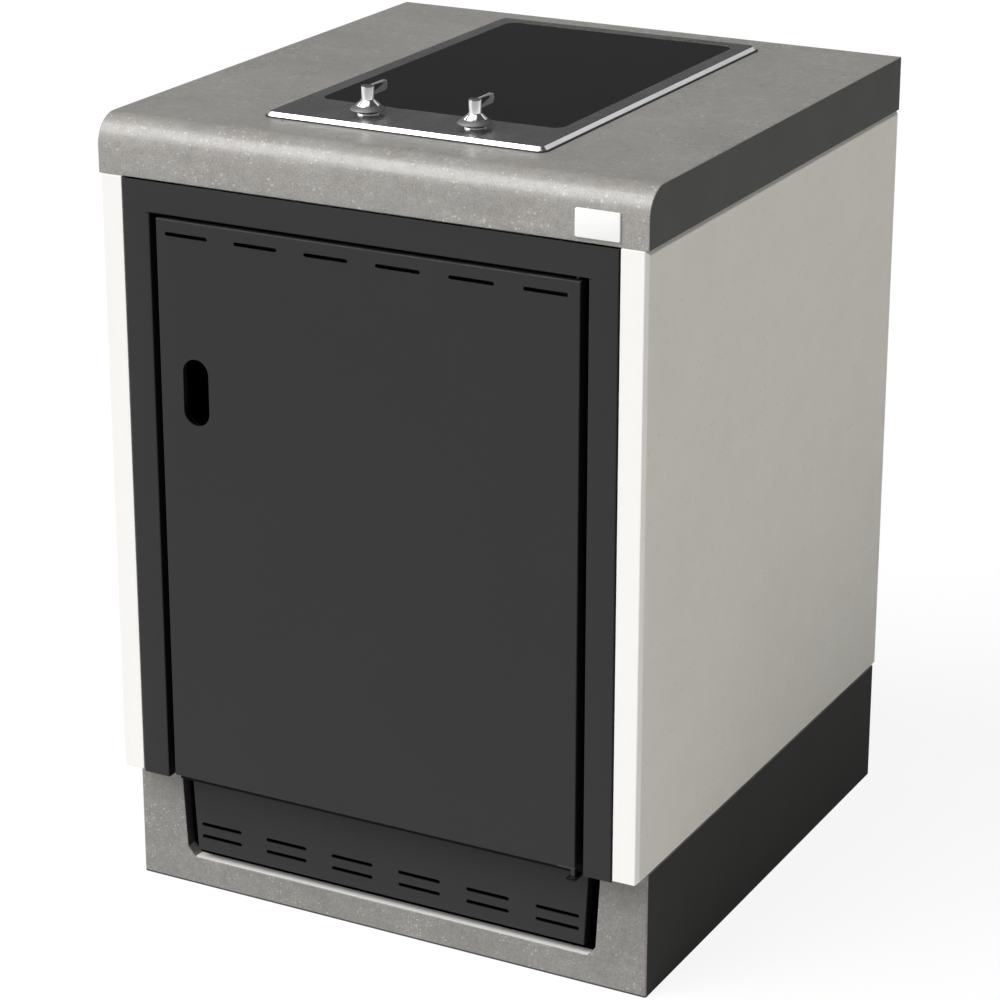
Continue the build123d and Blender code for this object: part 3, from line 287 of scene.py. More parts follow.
class Finish:
    """A material under construction: its tree, its coordinates and its Principled shader."""

    def __init__(self, name, colour, roughness, metallic=0.0, specular=0.5):
        self.material = bpy.data.materials.new(name)
        self.material.use_nodes = True
        self.material.diffuse_color = (*colour, 1)
        self.tree = self.material.node_tree
        self.tree.nodes.clear()
        self.shader = put(self.tree, "ShaderNodeBsdfPrincipled",
                          {"Base Color": (*colour, 1), "Roughness": roughness, "Metallic": metallic,
                           "Specular IOR Level": specular})
        result = put(self.tree, "ShaderNodeOutputMaterial")
        self.tree.links.new(self.shader.outputs[0], result.inputs[0])
        self.place = put(self.tree, "ShaderNodeTexCoord")
        self.colour = (*colour, 1)
        self.height = None
        self.roughness = roughness

    def use(self, name, **values):
        """Places a shared effect on this material's object coordinates."""
        node = put(self.tree, "ShaderNodeGroup", node_tree=EFFECTS[name])
        for label, source in (("Vector", "Object"), ("Normal", "Normal")):
            if label in node.inputs:
                self.tree.links.new(self.place.outputs[source], node.inputs[label])
        for label, value in values.items():
            node.inputs[label.replace("_", " ").title()].default_value = value
        return node.outputs

    def tone(self, value):
        """Multiplies the colour by a value about 1."""
        grey = put(self.tree, "ShaderNodeCombineColor", {"Red": value, "Green": value, "Blue": value})
        self.colour = blend_colour(self.tree, 1.0, self.colour, grey.outputs[0], "MULTIPLY")

    def tint(self, mask, colour, share=1.0):
        """Lays a second colour over the first where the mask is."""
        part = calc(self.tree, "MULTIPLY", mask, share)
        self.colour = blend_colour(self.tree, part, self.colour, (*colour, 1))

    def rougher(self, mask, by):
        """Adds to the roughness where the mask is."""
        part = calc(self.tree, "MULTIPLY", mask, by)
        self.roughness = calc(self.tree, "ADD", part, self.roughness, clamp=True)

    def raise_by(self, value, depth):
        """Adds to the relief; depth is in metres."""
        part = calc(self.tree, "MULTIPLY", value, depth)
        self.height = part if self.height is None else calc(self.tree, "ADD", self.height, part)

    def done(self):
        """Links what varies to the shader and gives the material."""
        for label, value in (("Base Color", self.colour), ("Roughness", self.roughness)):
            if isinstance(value, bpy.types.NodeSocket):
                self.tree.links.new(value, self.shader.inputs[label])
        if self.height is not None:
            bump = put(self.tree, "ShaderNodeBump",
                       {"Height": self.height, "Strength": 1.0, "Distance": 1.0})
            self.tree.links.new(bump.outputs[0], self.shader.inputs["Normal"])
        return self.material


def below(finish, low, high):
    """Where the surface is near the floor: 1 under low, 0 over high."""
    parts = put(finish.tree, "ShaderNodeSeparateXYZ", {0: finish.place.outputs["Object"]})
    return span(finish.tree, parts.outputs[2], low, high, 1.0, 0.0)


def grey_stone(name, colour):
    """Cast stone, trowelled, with a fine brownish grain and light and dark minerals."""
    f = Finish(name, colour, 0.33)
    browner = tuple(c * k for c, k in zip(colour, (0.99, 0.95, 0.9)))
    drift = f.use("trowel_clouds", cloud_size=0.05, streak_size=0.016, streaks=0.3, contrast=0.5)["Tone"]
    f.tint(drift, browner, 0.45)
    f.tone(f.use("trowel_clouds", cloud_size=0.16, streak_size=0.022, streaks=0.35, contrast=0.16)["Tone"])
    f.tone(f.use("trowel_clouds", cloud_size=0.012, streak_size=0.006, streaks=0.3, contrast=0.18)["Tone"])
    f.tone(f.use("fine_relief", grain_size=0.0013, contrast=0.5)["Tone"])
    light = f.use("mineral_specks", grain_size=0.0036, share=0.2, patch_size=0.04)["Mask"]
    f.tint(light, (0.6, 0.58, 0.55), 0.5)
    small = f.use("mineral_specks", grain_size=0.0018, share=0.3, patch_size=0.02)["Mask"]
    f.tint(small, (0.45, 0.435, 0.41), 0.3)
    dark = f.use("mineral_specks", grain_size=0.0034, share=0.07, patch_size=0.03)["Mask"]
    f.tint(dark, (0.12, 0.11, 0.1), 0.22)
    # Lighter arrises: rubbed wear and a painted highlight.
    f.tint(f.use("edge_wear_and_highlight", break_size=0.01)["Mask"], (0.42, 0.41, 0.39), 0.22)
    f.rougher(f.use("hand_marks", patch_size=0.09)["Mask"], -0.08)
    f.raise_by(f.use("fine_relief", grain_size=0.0016)["Height"], 0.00012)
    waves = f.use("trowel_clouds", cloud_size=0.02, streak_size=0.012, streaks=1.0, contrast=0.3)["Tone"]
    f.raise_by(waves, 0.0003)
    return f


def side_shade_stone(name, colour):
    """A darker copy of the cast stone for the faces that look to the sides: painted shade."""
    f = Finish(name, colour, 0.75, specular=0.08)
    f.tone(f.use("trowel_clouds", cloud_size=0.09, streak_size=0.04, streaks=0.3, contrast=0.1)["Tone"])
    f.tone(f.use("fine_relief", grain_size=0.0012, contrast=0.2)["Tone"])
    # Lighter arrises: rubbed wear and a painted highlight.
    f.tint(f.use("edge_wear_and_highlight", break_size=0.01)["Mask"], (0.3, 0.29, 0.27), 0.2)
    f.raise_by(f.use("fine_relief", grain_size=0.0016)["Height"], 0.00008)
    return f.done()


def plinth_stone():
    """The same stone, with painted light on the ledge of the front opening and painted shade along its foot.
    """
    f = grey_stone("plinth_stone", (0.222, 0.217, 0.208))
    # Painted light: the up-facing ledge of the front opening is made pale to stand for the light that falls
    # on it.
    level = f.use("facing", direction=Z_AXIS, both_ways=1.0, low=0.85, high=0.95)["Mask"]
    ledge = calc(f.tree, "MULTIPLY", level, below(f, 0.06, 0.065))
    f.tint(ledge, (0.88, 0.87, 0.85), 0.95)
    # Painted shade: a near-black band along the foot, where the plinth meets the floor.
    f.tint(below(f, 0.0022, 0.0028), (0.01, 0.01, 0.01), 0.95)
    return f.done()


def pale_stone():
    """Smooth off-white casting with faint clouds and yellowish stains, whiter on its front edge."""
    f = Finish("side_panel_stone", (0.845, 0.815, 0.74), 0.6)
    f.tone(f.use("trowel_clouds", cloud_size=0.2, streak_size=0.08, streaks=0.3, contrast=0.03)["Tone"])
    f.tone(f.use("trowel_clouds", cloud_size=0.025, streak_size=0.01, streaks=0.3, contrast=0.012)["Tone"])
    f.tint(f.use("hand_marks", patch_size=0.035)["Mask"], (0.74, 0.69, 0.58), 0.16)
    specks = f.use("mineral_specks", grain_size=0.004, share=0.03, patch_size=0.05)["Mask"]
    f.tint(specks, (0.6, 0.55, 0.46), 0.35)
    front = f.use("facing", direction=-Y_AXIS, low=0.5, high=0.9)["Mask"]
    f.tint(front, (0.83, 0.822, 0.798), 0.95)
    f.raise_by(f.use("fine_relief", grain_size=0.002)["Height"], 0.00006)
    waves = f.use("trowel_clouds", cloud_size=0.05, streak_size=0.02, streaks=0.4, contrast=0.3)["Tone"]
    f.raise_by(waves, 0.0002)
    return f.done()


def powder_coat():
    """Dark grey powder paint with a fine orange peel, lighter on upper folds with rubbed wear and a painted
    highlight, and with painted shade on the faces that look to the sides and down.
    """
    f = Finish("powder_coat", (0.0245, 0.0247, 0.0249), 0.55, specular=0.2)
    shade = (0.006, 0.006, 0.006)
    f.tone(f.use("trowel_clouds", cloud_size=0.25, streak_size=0.2, streaks=0.2, contrast=0.03)["Tone"])
    f.tone(f.use("fine_relief", grain_size=0.0008, contrast=0.16)["Tone"])
    # Lighter upper folds: rubbed wear and a painted highlight.
    upper = f.use("facing", direction=Z_AXIS, low=0.3, high=0.5)["Mask"]
    rubbed_and_highlit = calc(f.tree, "MULTIPLY", f.use("edge_wear_and_highlight", break_size=0.02)["Mask"], upper)
    f.tint(rubbed_and_highlit, (0.075, 0.076, 0.078), 0.5)
    # Painted shade on the faces that look to the sides and down.
    f.tint(f.use("facing", direction=X_AXIS, both_ways=1.0, low=0.8, high=0.95)["Mask"], shade, 0.85)
    f.tint(f.use("facing", direction=-Z_AXIS, low=0.3, high=0.6)["Mask"], shade, 0.85)
    f.tint(f.use("settled_dust", patch_size=0.05)["Mask"], (0.12, 0.118, 0.112), 0.12)
    f.rougher(f.use("hand_marks", patch_size=0.12)["Mask"], -0.06)
    f.raise_by(f.use("fine_relief", grain_size=0.0009)["Height"], 0.00005)
    return f.done()


def carcass_shade_paint():
    """Black matt paint inside the unit, with dust on what faces up. Its black stands for the shade in the
    door's gaps and under the door: painted shade.
    """
    f = Finish("carcass_shade_paint", (0.007, 0.007, 0.007), 0.75, specular=0.12)
    f.tone(f.use("fine_relief", grain_size=0.0011, contrast=0.2)["Tone"])
    f.tint(f.use("settled_dust", patch_size=0.1)["Mask"], (0.06, 0.058, 0.054), 0.15)
    f.raise_by(f.use("fine_relief", grain_size=0.0012)["Height"], 0.00005)
    return f.done()


def brushed_steel():
    """Hob plate: fine brushing along X, with wiped patches."""
    f = Finish("hob_steel", (0.78, 0.78, 0.785), 0.23, metallic=1.0)
    f.tone(f.use("brush_lines", line_width=0.0005, contrast=0.12)["Tone"])
    f.rougher(f.use("brush_lines", line_width=0.0008)["Height"], 0.08)
    f.rougher(f.use("hand_marks", patch_size=0.05)["Mask"], 0.05)
    f.raise_by(f.use("brush_lines", line_width=0.0005)["Height"], 0.000006)
    return f.done()


def hob_glass():
    """Black glass, with a trace of wiped film in its roughness."""
    f = Finish("hob_glass", (0.006, 0.006, 0.0065), 0.05)
    f.rougher(f.use("hand_marks", patch_size=0.08)["Mask"], 0.04)
    f.tint(f.use("settled_dust", patch_size=0.03)["Mask"], (0.05, 0.05, 0.05), 0.04)
    return f.done()


def bright_metal(name, colour, roughness, lines):
    """Turned metal with fine rings from the lathe, rougher on the lever's flat sides."""
    f = Finish(name, colour, roughness, metallic=1.0)
    f.tone(f.use("turning_lines", contrast=lines)["Tone"])
    f.tone(f.use("fine_relief", grain_size=0.0009, contrast=0.02)["Tone"])
    f.rougher(f.use("hand_marks", patch_size=0.008)["Mask"], 0.06)
    flat = f.use("facing", direction=X_AXIS, both_ways=1.0, low=0.97, high=0.99)["Mask"]
    f.rougher(flat, 0.26)
    f.raise_by(f.use("fine_relief", grain_size=0.0007)["Height"], 0.000004)
    return f.done()


def plain_metal(name, colour, roughness, spangle):
    """Sheet or wire metal with a mottled surface."""
    f = Finish(name, colour, roughness, metallic=1.0)
    mottle = f.use("trowel_clouds", cloud_size=0.012, streak_size=0.01, streaks=0.3, contrast=spangle)
    f.tone(mottle["Tone"])
    f.rougher(f.use("hand_marks", patch_size=0.02)["Mask"], 0.12)
    f.tint(f.use("settled_dust", patch_size=0.06)["Mask"], (0.3, 0.29, 0.27), 0.1)
    f.raise_by(f.use("fine_relief", grain_size=0.001)["Height"], 0.00001)
    return f.done()


def moulded(name, colour, roughness, grain, contrast=0.08):
    """Rubber, plastic or ceramic with a fine moulded grain."""
    f = Finish(name, colour, roughness)
    f.tone(f.use("fine_relief", grain_size=grain, contrast=contrast)["Tone"])
    f.rougher(f.use("hand_marks", patch_size=0.02)["Mask"], 0.08)
    pale = tuple(0.5 * c + 0.15 for c in colour)
    f.tint(f.use("edge_wear_and_highlight", break_size=0.004)["Mask"], pale, 0.2)
    f.raise_by(f.use("fine_relief", grain_size=grain)["Height"], 0.00003)
    return f.done()


SLAB_STONE = grey_stone("worktop_stone", (0.287, 0.281, 0.27)).done()
# The side finishes are darker copies of the stones, for the faces that look to either side: painted shade.
SLAB_SIDE = side_shade_stone("worktop_side_stone", (0.11, 0.11, 0.107))
PLINTH_STONE = plinth_stone()
PLINTH_SIDE = side_shade_stone("plinth_side_stone", (0.041, 0.041, 0.039))
PANEL_STONE = pale_stone()
POWDER = powder_coat()
CARCASS = carcass_shade_paint()
STEEL = brushed_steel()
GLASS = hob_glass()
KNOB_METAL = bright_metal("knob_metal", (0.88, 0.88, 0.87), 0.1, 0.04)
SKIRT_METAL = bright_metal("skirt_metal", (0.24, 0.24, 0.237), 0.62, 0.3)
ZINC = plain_metal("zinc_plate", (0.55, 0.56, 0.57), 0.38, 0.12)
BLACKENED = plain_metal("blackened_steel", (0.05, 0.05, 0.05), 0.25, 0.05)
ALLOY = plain_metal("heating_alloy", (0.24, 0.21, 0.19), 0.6, 0.2)
RUBBER = moulded("black_rubber", (0.022, 0.022, 0.022), 0.75, 0.0008)
PLASTIC = moulded("black_plastic", (0.03, 0.03, 0.031), 0.45, 0.0006)
MAGNET = moulded("magnet_ceramic", (0.07, 0.07, 0.07), 0.6, 0.0007)
QUARTZ = moulded("quartz_tube", (0.75, 0.75, 0.73), 0.15, 0.003, 0.03)
CERAMIC = moulded("terminal_ceramic", (0.78, 0.76, 0.7), 0.35, 0.001, 0.04)
FIBRE = moulded("zone_insulation", (0.8, 0.78, 0.74), 0.95, 0.0014, 0.2)
PLATE_WHITE = moulded("name_plate_white", (0.83, 0.83, 0.82), 0.35, 0.0012, 0.02)

# The finish of every CAD node, whether the node shows or a piece below stands for it
NODE_FINISH = {
    SLAB_STONE: ["worktop"],
    PLINTH_STONE: ["plinth"],
    PANEL_STONE: ["side_panel_left", "side_panel_right"],
    POWDER: ["face_frame", "kick_panel", "door_skin", "door_liner"],
    CARCASS: ["hinge_tab", "carcass_back", "carcass_floor", "carcass_side_left",
              "carcass_side_right"],
    STEEL: ["hob_plate"],
    GLASS: ["hob_glass"],
    KNOB_METAL: ["knob_left", "knob_right", "knob_collars"],
    SKIRT_METAL: ["knob_skirt_left", "knob_skirt_right"],
    ZINC: ["front_top_rail", "rear_top_rail", "worktop_screws", "side_panel_bolts", "back_screws",
           "kick_brackets", "kick_nuts", "door_stiffeners", "catch_strike", "hob_casing",
           "heater_bridges", "heater_springs", "hob_clamps", "hob_clamp_screws", "spindle_left",
           "spindle_right", "front_zone_dish", "rear_zone_dish"],
    BLACKENED: ["lower_hinge_pin", "upper_hinge_pin"],
    ALLOY: ["front_zone_ribbon", "rear_zone_ribbon"],
    RUBBER: ["panel_packers", "cable_grommet", "door_bumpers", "hob_gasket"],
    PLASTIC: ["lower_hinge_bush", "upper_hinge_bush", "door_pivot_blocks", "catch_body",
              "cable_gland", "regulator_left", "regulator_right"],
    MAGNET: ["catch_magnet"],
    QUARTZ: ["temperature_limiters"],
    CERAMIC: ["terminal_block"],
    FIBRE: ["front_zone_insulation", "rear_zone_insulation"],
    PLATE_WHITE: ["name_plate", "panel_spacers"],
}
for finish, names in NODE_FINISH.items():
    for name in names:
        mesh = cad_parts[name].data
        mesh.materials.clear()
        mesh.materials.append(finish)


# Mesh building

def finished(name, bm, material, soft_angle=35, bevel=None):
    """Makes an object of a bmesh. bevel is (width, segments) for its sharp edges."""
    bmesh.ops.recalc_face_normals(bm, faces=bm.faces)
    mesh = bpy.data.meshes.new(name)
    bm.to_mesh(mesh)
    bm.free()
    mesh.materials.append(material)
    mesh.shade_smooth()
    mesh.set_sharp_from_angle(angle=math.radians(soft_angle))
    piece = bpy.data.objects.new(name, mesh)
    bpy.context.scene.collection.objects.link(piece)
    if bevel:
        edge = piece.modifiers.new("arris", "BEVEL")
        edge.width, edge.segments = bevel
        edge.limit_method = "ANGLE"
        edge.angle_limit = math.radians(40)
        edge.harden_normals = True
        edge.use_clamp_overlap = True
        settle(piece)
    return piece


def settle(piece):
    """Turns a piece's modifiers into plain mesh."""
    graph = bpy.context.evaluated_depsgraph_get()
    mesh = bpy.data.meshes.new_from_object(piece.evaluated_get(graph))
    piece.modifiers.clear()
    piece.data = mesh


def cut(piece, *tools):
    """Takes closed shapes away from a piece."""
    for tool in tools:
        step = piece.modifiers.new("cut", "BOOLEAN")
        step.operation = "DIFFERENCE"
        step.solver = "EXACT"
        step.object = tool
    settle(piece)
    for tool in tools:
        bpy.data.objects.remove(tool)


def hand(side):
    """The word for a side, -1 or 1."""
    return "left" if side < 0 else "right"


def hang(piece, body, slot, *nodes):
    """Gives a finished piece its body and hides the CAD nodes that it stands for. The slot is not used."""
    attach(piece, body)
    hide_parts(*nodes)


def node_copy(node, name, material, bevel, soft_angle=35):
    """A CAD node's form, merged into whole faces so that its sharp edges take a bevel."""
    bm = bmesh.new()
    bm.from_mesh(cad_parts[node].data)
    bmesh.ops.remove_doubles(bm, verts=bm.verts, dist=0.000003)
    bmesh.ops.dissolve_limit(bm, angle_limit=math.radians(0.3), verts=bm.verts, edges=bm.edges)
    return finished(name, bm, material, soft_angle, bevel)


def rounded_loop(centre, width, depth, radius, z, steps=8):
    """Points of a rectangle with round corners, counterclockwise from above."""
    points = []
    for turn, (sx, sy) in enumerate(((1, 1), (-1, 1), (-1, -1), (1, -1))):
        cx = centre[0] + sx * (width / 2 - radius)
        cy = centre[1] + sy * (depth / 2 - radius)
        for i in range(steps + 1):
            angle = (turn + i / steps) * math.pi / 2
            x = cx + radius * math.cos(angle)
            y = cy + radius * math.sin(angle)
            points.append(Vector((x, y, z)) * MM)
    return points


def skin_loops(bm, loops, ring=False):
    """Joins loops of equal length with four-sided faces; ring joins the last to the first."""
    rows = [[bm.verts.new(p) for p in loop] for loop in loops]
    pairs = list(zip(rows, rows[1:] + rows[:1])) if ring else list(zip(rows, rows[1:]))
    for low, high in pairs:
        count = len(low)
        for i in range(count):
            bm.faces.new((low[i], low[(i + 1) % count], high[(i + 1) % count], high[i]))
    if not ring:
        bm.faces.new(list(reversed(rows[0])))
        bm.faces.new(rows[-1])


def turned(name, profile, centre, material, segments=96, soft_angle=35):
    """A shape turned about an upright axis, from a closed row of radius and height pairs in millimetres."""
    bm = bmesh.new()
    rings = []
    for radius, z in profile:
        if radius == 0:
            rings.append([bm.verts.new(Vector((centre[0], centre[1], z)) * MM)])
            continue
        ring = []
        for i in range(segments):
            angle = 2 * math.pi * i / segments
            x = centre[0] + radius * math.cos(angle)
            y = centre[1] + radius * math.sin(angle)
            ring.append(bm.verts.new(Vector((x, y, z)) * MM))
        rings.append(ring)
    for low, high in zip(rings, rings[1:] + rings[:1]):
        if len(low) == 1 and len(high) == 1:
            continue
        for i in range(segments):
            j = (i + 1) % segments
            corners = [low[i % len(low)], low[j % len(low)], high[j % len(high)], high[i % len(high)]]
            bm.faces.new(list(dict.fromkeys(corners)))
    return finished(name, bm, material, soft_angle)


# Stone castings

HALF_WIDTH = 324
BACK = 335
SLAB_BOTTOM = 838
SLAB_TOP = 900
SLAB_FRONT = -331
NOSE_RADIUS = 32
NOSE_STEPS = 32
OPENING_X = 146
OPENING_FRONT = -232
OPENING_BACK = 272
PANEL_INNER = 294
PANEL_FRONT = -333
PANEL_BOTTOM = 148.3
PANEL_CHAMFER = 4
CAST_ARRIS = (0.0012, 3)
SIDEWAYS = 0.92


def worktop_slab():
    """Slab with a bullnose along its front and an opening for the hob."""
    rim = [(SLAB_FRONT, SLAB_BOTTOM)]
    for i in range(NOSE_STEPS + 1):
        angle = i / NOSE_STEPS * math.pi / 2
        rim.append((SLAB_FRONT + NOSE_RADIUS - NOSE_RADIUS * math.cos(angle),
                    SLAB_TOP - NOSE_RADIUS + NOSE_RADIUS * math.sin(angle)))
    rim += [(OPENING_FRONT, SLAB_TOP), (OPENING_BACK, SLAB_TOP), (BACK, SLAB_TOP), (BACK, SLAB_BOTTOM),
            (OPENING_BACK, SLAB_BOTTOM), (OPENING_FRONT, SLAB_BOTTOM)]
    bm = bmesh.new()
    grid = [[bm.verts.new(Vector((x, y, z)) * MM) for y, z in rim]
            for x in (-HALF_WIDTH, -OPENING_X, OPENING_X, HALF_WIDTH)]
    count = len(rim)
    top_front, top_back, low_back, low_front = count - 6, count - 5, count - 2, count - 1
    for column in range(3):
        for i in range(count):
            if column == 1 and i in (top_front, low_back):
                continue
            j = (i + 1) % count
            bm.faces.new((grid[column][i], grid[column][j], grid[column + 1][j], grid[column + 1][i]))
    bm.faces.new([grid[1][i] for i in (top_front, top_back, low_back, low_front)])
    bm.faces.new([grid[2][i] for i in (top_back, top_front, low_front, low_back)])
    for top, low in ((top_front, low_front), (top_back, low_back)):
        bm.faces.new((grid[1][top], grid[2][top], grid[2][low], grid[1][low]))
    bm.faces.new(grid[0])
    bm.faces.new(grid[3])
    return finished("worktop_slab", bm, SLAB_STONE, 35, CAST_ARRIS)


def side_panel(side):
    """Plain panel with a flat chamfer round its outer face and softer edges elsewhere."""
    inner, outer = PANEL_INNER * side, HALF_WIDTH * side
    bm = bmesh.new()
    bmesh.ops.create_cube(bm, size=1)
    for v in bm.verts:
        v.co = Vector((inner if v.co.x * side < 0 else outer,
                       PANEL_FRONT if v.co.y < 0 else BACK,
                       PANEL_BOTTOM if v.co.z < 0 else SLAB_BOTTOM)) * MM
    shown = [e for e in bm.edges if all(abs(v.co.x - outer * MM) < 1e-6 for v in e.verts)]
    bmesh.ops.bevel(bm, geom=shown, offset=PANEL_CHAMFER * MM, segments=1, affect="EDGES", clamp_overlap=True)
    piece = finished(f"{hand(side)}_side_panel", bm, PANEL_STONE, 25, (0.0007, 3))
    smooth_flats(piece)
    return piece


def smooth_flats(piece):
    """Keeps large flats flat beside their rounded arrises."""
    weigh = piece.modifiers.new("flats", "WEIGHTED_NORMAL")
    weigh.keep_sharp = True
    settle(piece)


def shade_sides(piece, material):
    """Gives the faces that look to either side the darker copy of the stone, which is painted shade."""
    piece.data.materials.append(material)
    for face in piece.data.polygons:
        if abs(face.normal.x) > SIDEWAYS:
            face.material_index = 1
    return piece


hang(shade_sides(worktop_slab(), SLAB_SIDE), "cabinet", "cast_stone", "worktop")
plinth = node_copy("plinth", "plinth_casting", PLINTH_STONE, CAST_ARRIS)
smooth_flats(plinth)
hang(shade_sides(plinth, PLINTH_SIDE), "cabinet", "cast_stone", "plinth")
for side, node in ((-1, "side_panel_left"), (1, "side_panel_right")):
    hang(side_panel(side), "cabinet", "cast_stone", node)


PLATE_MIDDLE = (268, 858.5)
PLATE_WIDTH = 50
PLATE_HEIGHT = 30
PLATE_CORNER = 2.0


def name_plate():
    """Small blank plate stuck to the worktop's front edge."""
    bm = bmesh.new()
    loops = []
    for inset, y in ((0.0, 0.0), (0.0, 1.4), (0.25, 1.85), (0.7, 2.0)):
        flat = rounded_loop(PLATE_MIDDLE, PLATE_WIDTH - 2 * inset, PLATE_HEIGHT - 2 * inset, PLATE_CORNER, 0)
        loops.append([Vector((p.x, SLAB_FRONT * MM - y * MM, p.y)) for p in flat])
    skin_loops(bm, loops)
    return finished("blank_name_plate", bm, PLATE_WHITE, 50)


hang(name_plate(), "cabinet", "white_plastic", "name_plate")


# Folded sheet steel

for node, name, body in (("face_frame", "front_frame", "cabinet"),
                         ("kick_panel", "slotted_kick_panel", "cabinet"),
                         ("door_skin", "door_tray", "door")):
    hang(node_copy(node, name, POWDER, (0.0003, 2)), body, "grey_powder_coat", node)


# Hob

# The glass lies on a ledge round its window, and the seal stands out from the outline by a margin.
HOB_MIDDLE = (0, 19.75)
HOB_WIDTH = 332
HOB_DEPTH = 540.5
HOB_CORNER = 9
WINDOW_MIDDLE = (0, 48.4)
WINDOW_WIDTH = 290
WINDOW_DEPTH = 440.8
WINDOW_CORNER = 15
LEDGE = 8
SEAL_MARGIN = 2
SEAL_WIDTH = 12
SPINDLE_HOLE = 5


def rim_loop(inset, z):
    """Outline of the hob drawn in by inset."""
    return rounded_loop(HOB_MIDDLE, HOB_WIDTH - 2 * inset, HOB_DEPTH - 2 * inset, HOB_CORNER - inset, z)


def window_loop(grow, z):
    """Outline of the glass's window made larger by grow."""
    width, depth = WINDOW_WIDTH + 2 * grow, WINDOW_DEPTH + 2 * grow
    return rounded_loop(WINDOW_MIDDLE, width, depth, WINDOW_CORNER + grow, z)


def hob_plate():
    """Pressed steel plate: sloping rim, window with a ledge for the glass, underside."""
    bm = bmesh.new()
    rim = ((0.35, 901.2), (0.1, 901.28), (0.2, 901.6), (3.08, 905.1), (3.4, 905.36), (4.0, 905.5))
    loops = [rim_loop(inset, z) for inset, z in rim]
    step = ((0.3, 905.5), (0.08, 905.42), (0.0, 905.2), (0.0, 901.5))
    loops += [window_loop(grow, z) for grow, z in step]
    loops += [rounded_loop(WINDOW_MIDDLE, WINDOW_WIDTH - 2 * LEDGE, WINDOW_DEPTH - 2 * LEDGE, 7.5, z)
              for z in (901.5, 900.3)]
    loops += [window_loop(1.2, z) for z in (900.3, 904.3)]
    loops += [rim_loop(inset, z) for inset, z in ((3.95, 904.3), (1.5, 901.2))]
    skin_loops(bm, loops, ring=True)
    plate = finished("hob_frame", bm, STEEL, 28)
    drill = [(0, 890), (SPINDLE_HOLE, 890), (SPINDLE_HOLE, 915), (0, 915)]
    cut(plate, *[turned("knob_hole", drill, (s * KNOB_X, KNOB_Y), STEEL, 48) for s in SIDES])
    smooth_flats(plate)
    return plate


def hob_glass_pane():
    """Glass with a fine polished edge, flush with the plate."""
    bm = bmesh.new()
    edge = ((-0.7, 901.5), (-0.3, 901.9), (-0.3, 905.3), (-0.36, 905.44), (-0.5, 905.5))
    skin_loops(bm, [window_loop(grow, z) for grow, z in edge])
    pane = finished("hob_pane", bm, GLASS, 50)
    smooth_flats(pane)
    return pane


def hob_seal():
    """Rubber seal between the rim and the worktop, with a soft outer lip."""
    bm = bmesh.new()
    lip = ((0.3, 900.0), (0.0, 900.25), (0.0, 900.75), (0.3, 901.1), (0.8, 901.2))
    loops = [rim_loop(inset - SEAL_MARGIN, z) for inset, z in lip]
    inner = SEAL_WIDTH - SEAL_MARGIN
    loops += [rounded_loop(HOB_MIDDLE, HOB_WIDTH - 2 * inner, HOB_DEPTH - 2 * inner, 1.0, z)
              for z in (901.2, 900.0)]
    skin_loops(bm, loops, ring=True)
    return finished("hob_seal", bm, RUBBER, 40)


hang(hob_plate(), "cabinet", "brushed_steel", "hob_plate")
hang(hob_glass_pane(), "cabinet", "black_glass", "hob_glass")
hang(hob_seal(), "cabinet", "black_rubber", "hob_gasket")


# Knobs

# Heights are counted from the hob's top face, and the web is pairs of distance and height over the lever's
# lower edge.
LEVER_TOP = 29.6
LEVER_LOW = 18.0
LEVER_ROUND = 5.5
LEVER_REACH = 39.0
LEVER_HALF = 2.0
LEVER_WEB = ((0.0, -4.0), (6.95, -4.0), (7.4, -2.4), (8.15, -1.2), (9.3, -0.35), (10.95, 0.0))
POST_SEGMENTS = 96
ROUND_STEPS = 8


def lever_paddle(x):
    """Flat paddle with a rounded end, pointing back, with a curved web to the post."""
    outline = [(y, LEVER_LOW + z) for y, z in LEVER_WEB]
    for start, z in ((-90, LEVER_LOW + LEVER_ROUND), (0, LEVER_TOP - LEVER_ROUND)):
        for i in range(ROUND_STEPS + 1):
            angle = math.radians(start + i * 90 / ROUND_STEPS)
            outline.append((LEVER_REACH - LEVER_ROUND + LEVER_ROUND * math.cos(angle),
                            z + LEVER_ROUND * math.sin(angle)))
    outline.append((0.0, LEVER_TOP))
    bm = bmesh.new()
    sides = [[bm.verts.new(Vector((x + s * LEVER_HALF, KNOB_Y + y, HOB_TOP + z)) * MM) for y, z in outline]
             for s in SIDES]
    bm.faces.new(sides[0])
    bm.faces.new(list(reversed(sides[1])))
    count = len(outline)
    for i in range(count):
        j = (i + 1) % count
        bm.faces.new((sides[0][i], sides[0][j], sides[1][j], sides[1][i]))
    return finished("lever", bm, KNOB_METAL, 35, (0.0007, 3))


def knob_turning(name, profile, side, material):
    """A turned piece on a knob's axis."""
    raised = [(radius, HOB_TOP + z) for radius, z in profile]
    return turned(name, raised, (side * KNOB_X, KNOB_Y), material, POST_SEGMENTS)


def knob(side):
    """Turned post on a cone, with the lever joined to it."""
    profile = [(0, 4.0), (6, 4.0), (6, 9.1), (12.6, 9.1), (12.82, 9.2), (12.9, 9.4), (12.9, 9.65),
               (12.8, 9.95), (7.35, 14.98), (7.05, 15.35), (6.95, 15.8), (6.95, 29.2), (6.8, 29.7),
               (6.4, 29.95), (5.9, 30.0), (5.5, 29.75), (0, 29.75)]
    body = knob_turning("knob_body", profile, side, KNOB_METAL)
    paddle = lever_paddle(side * KNOB_X)
    join = body.modifiers.new("join", "BOOLEAN")
    join.operation = "UNION"
    join.solver = "EXACT"
    join.object = paddle
    settle(body)
    bpy.data.objects.remove(paddle)
    body.name = f"{hand(side)}_lever_knob"
    return body


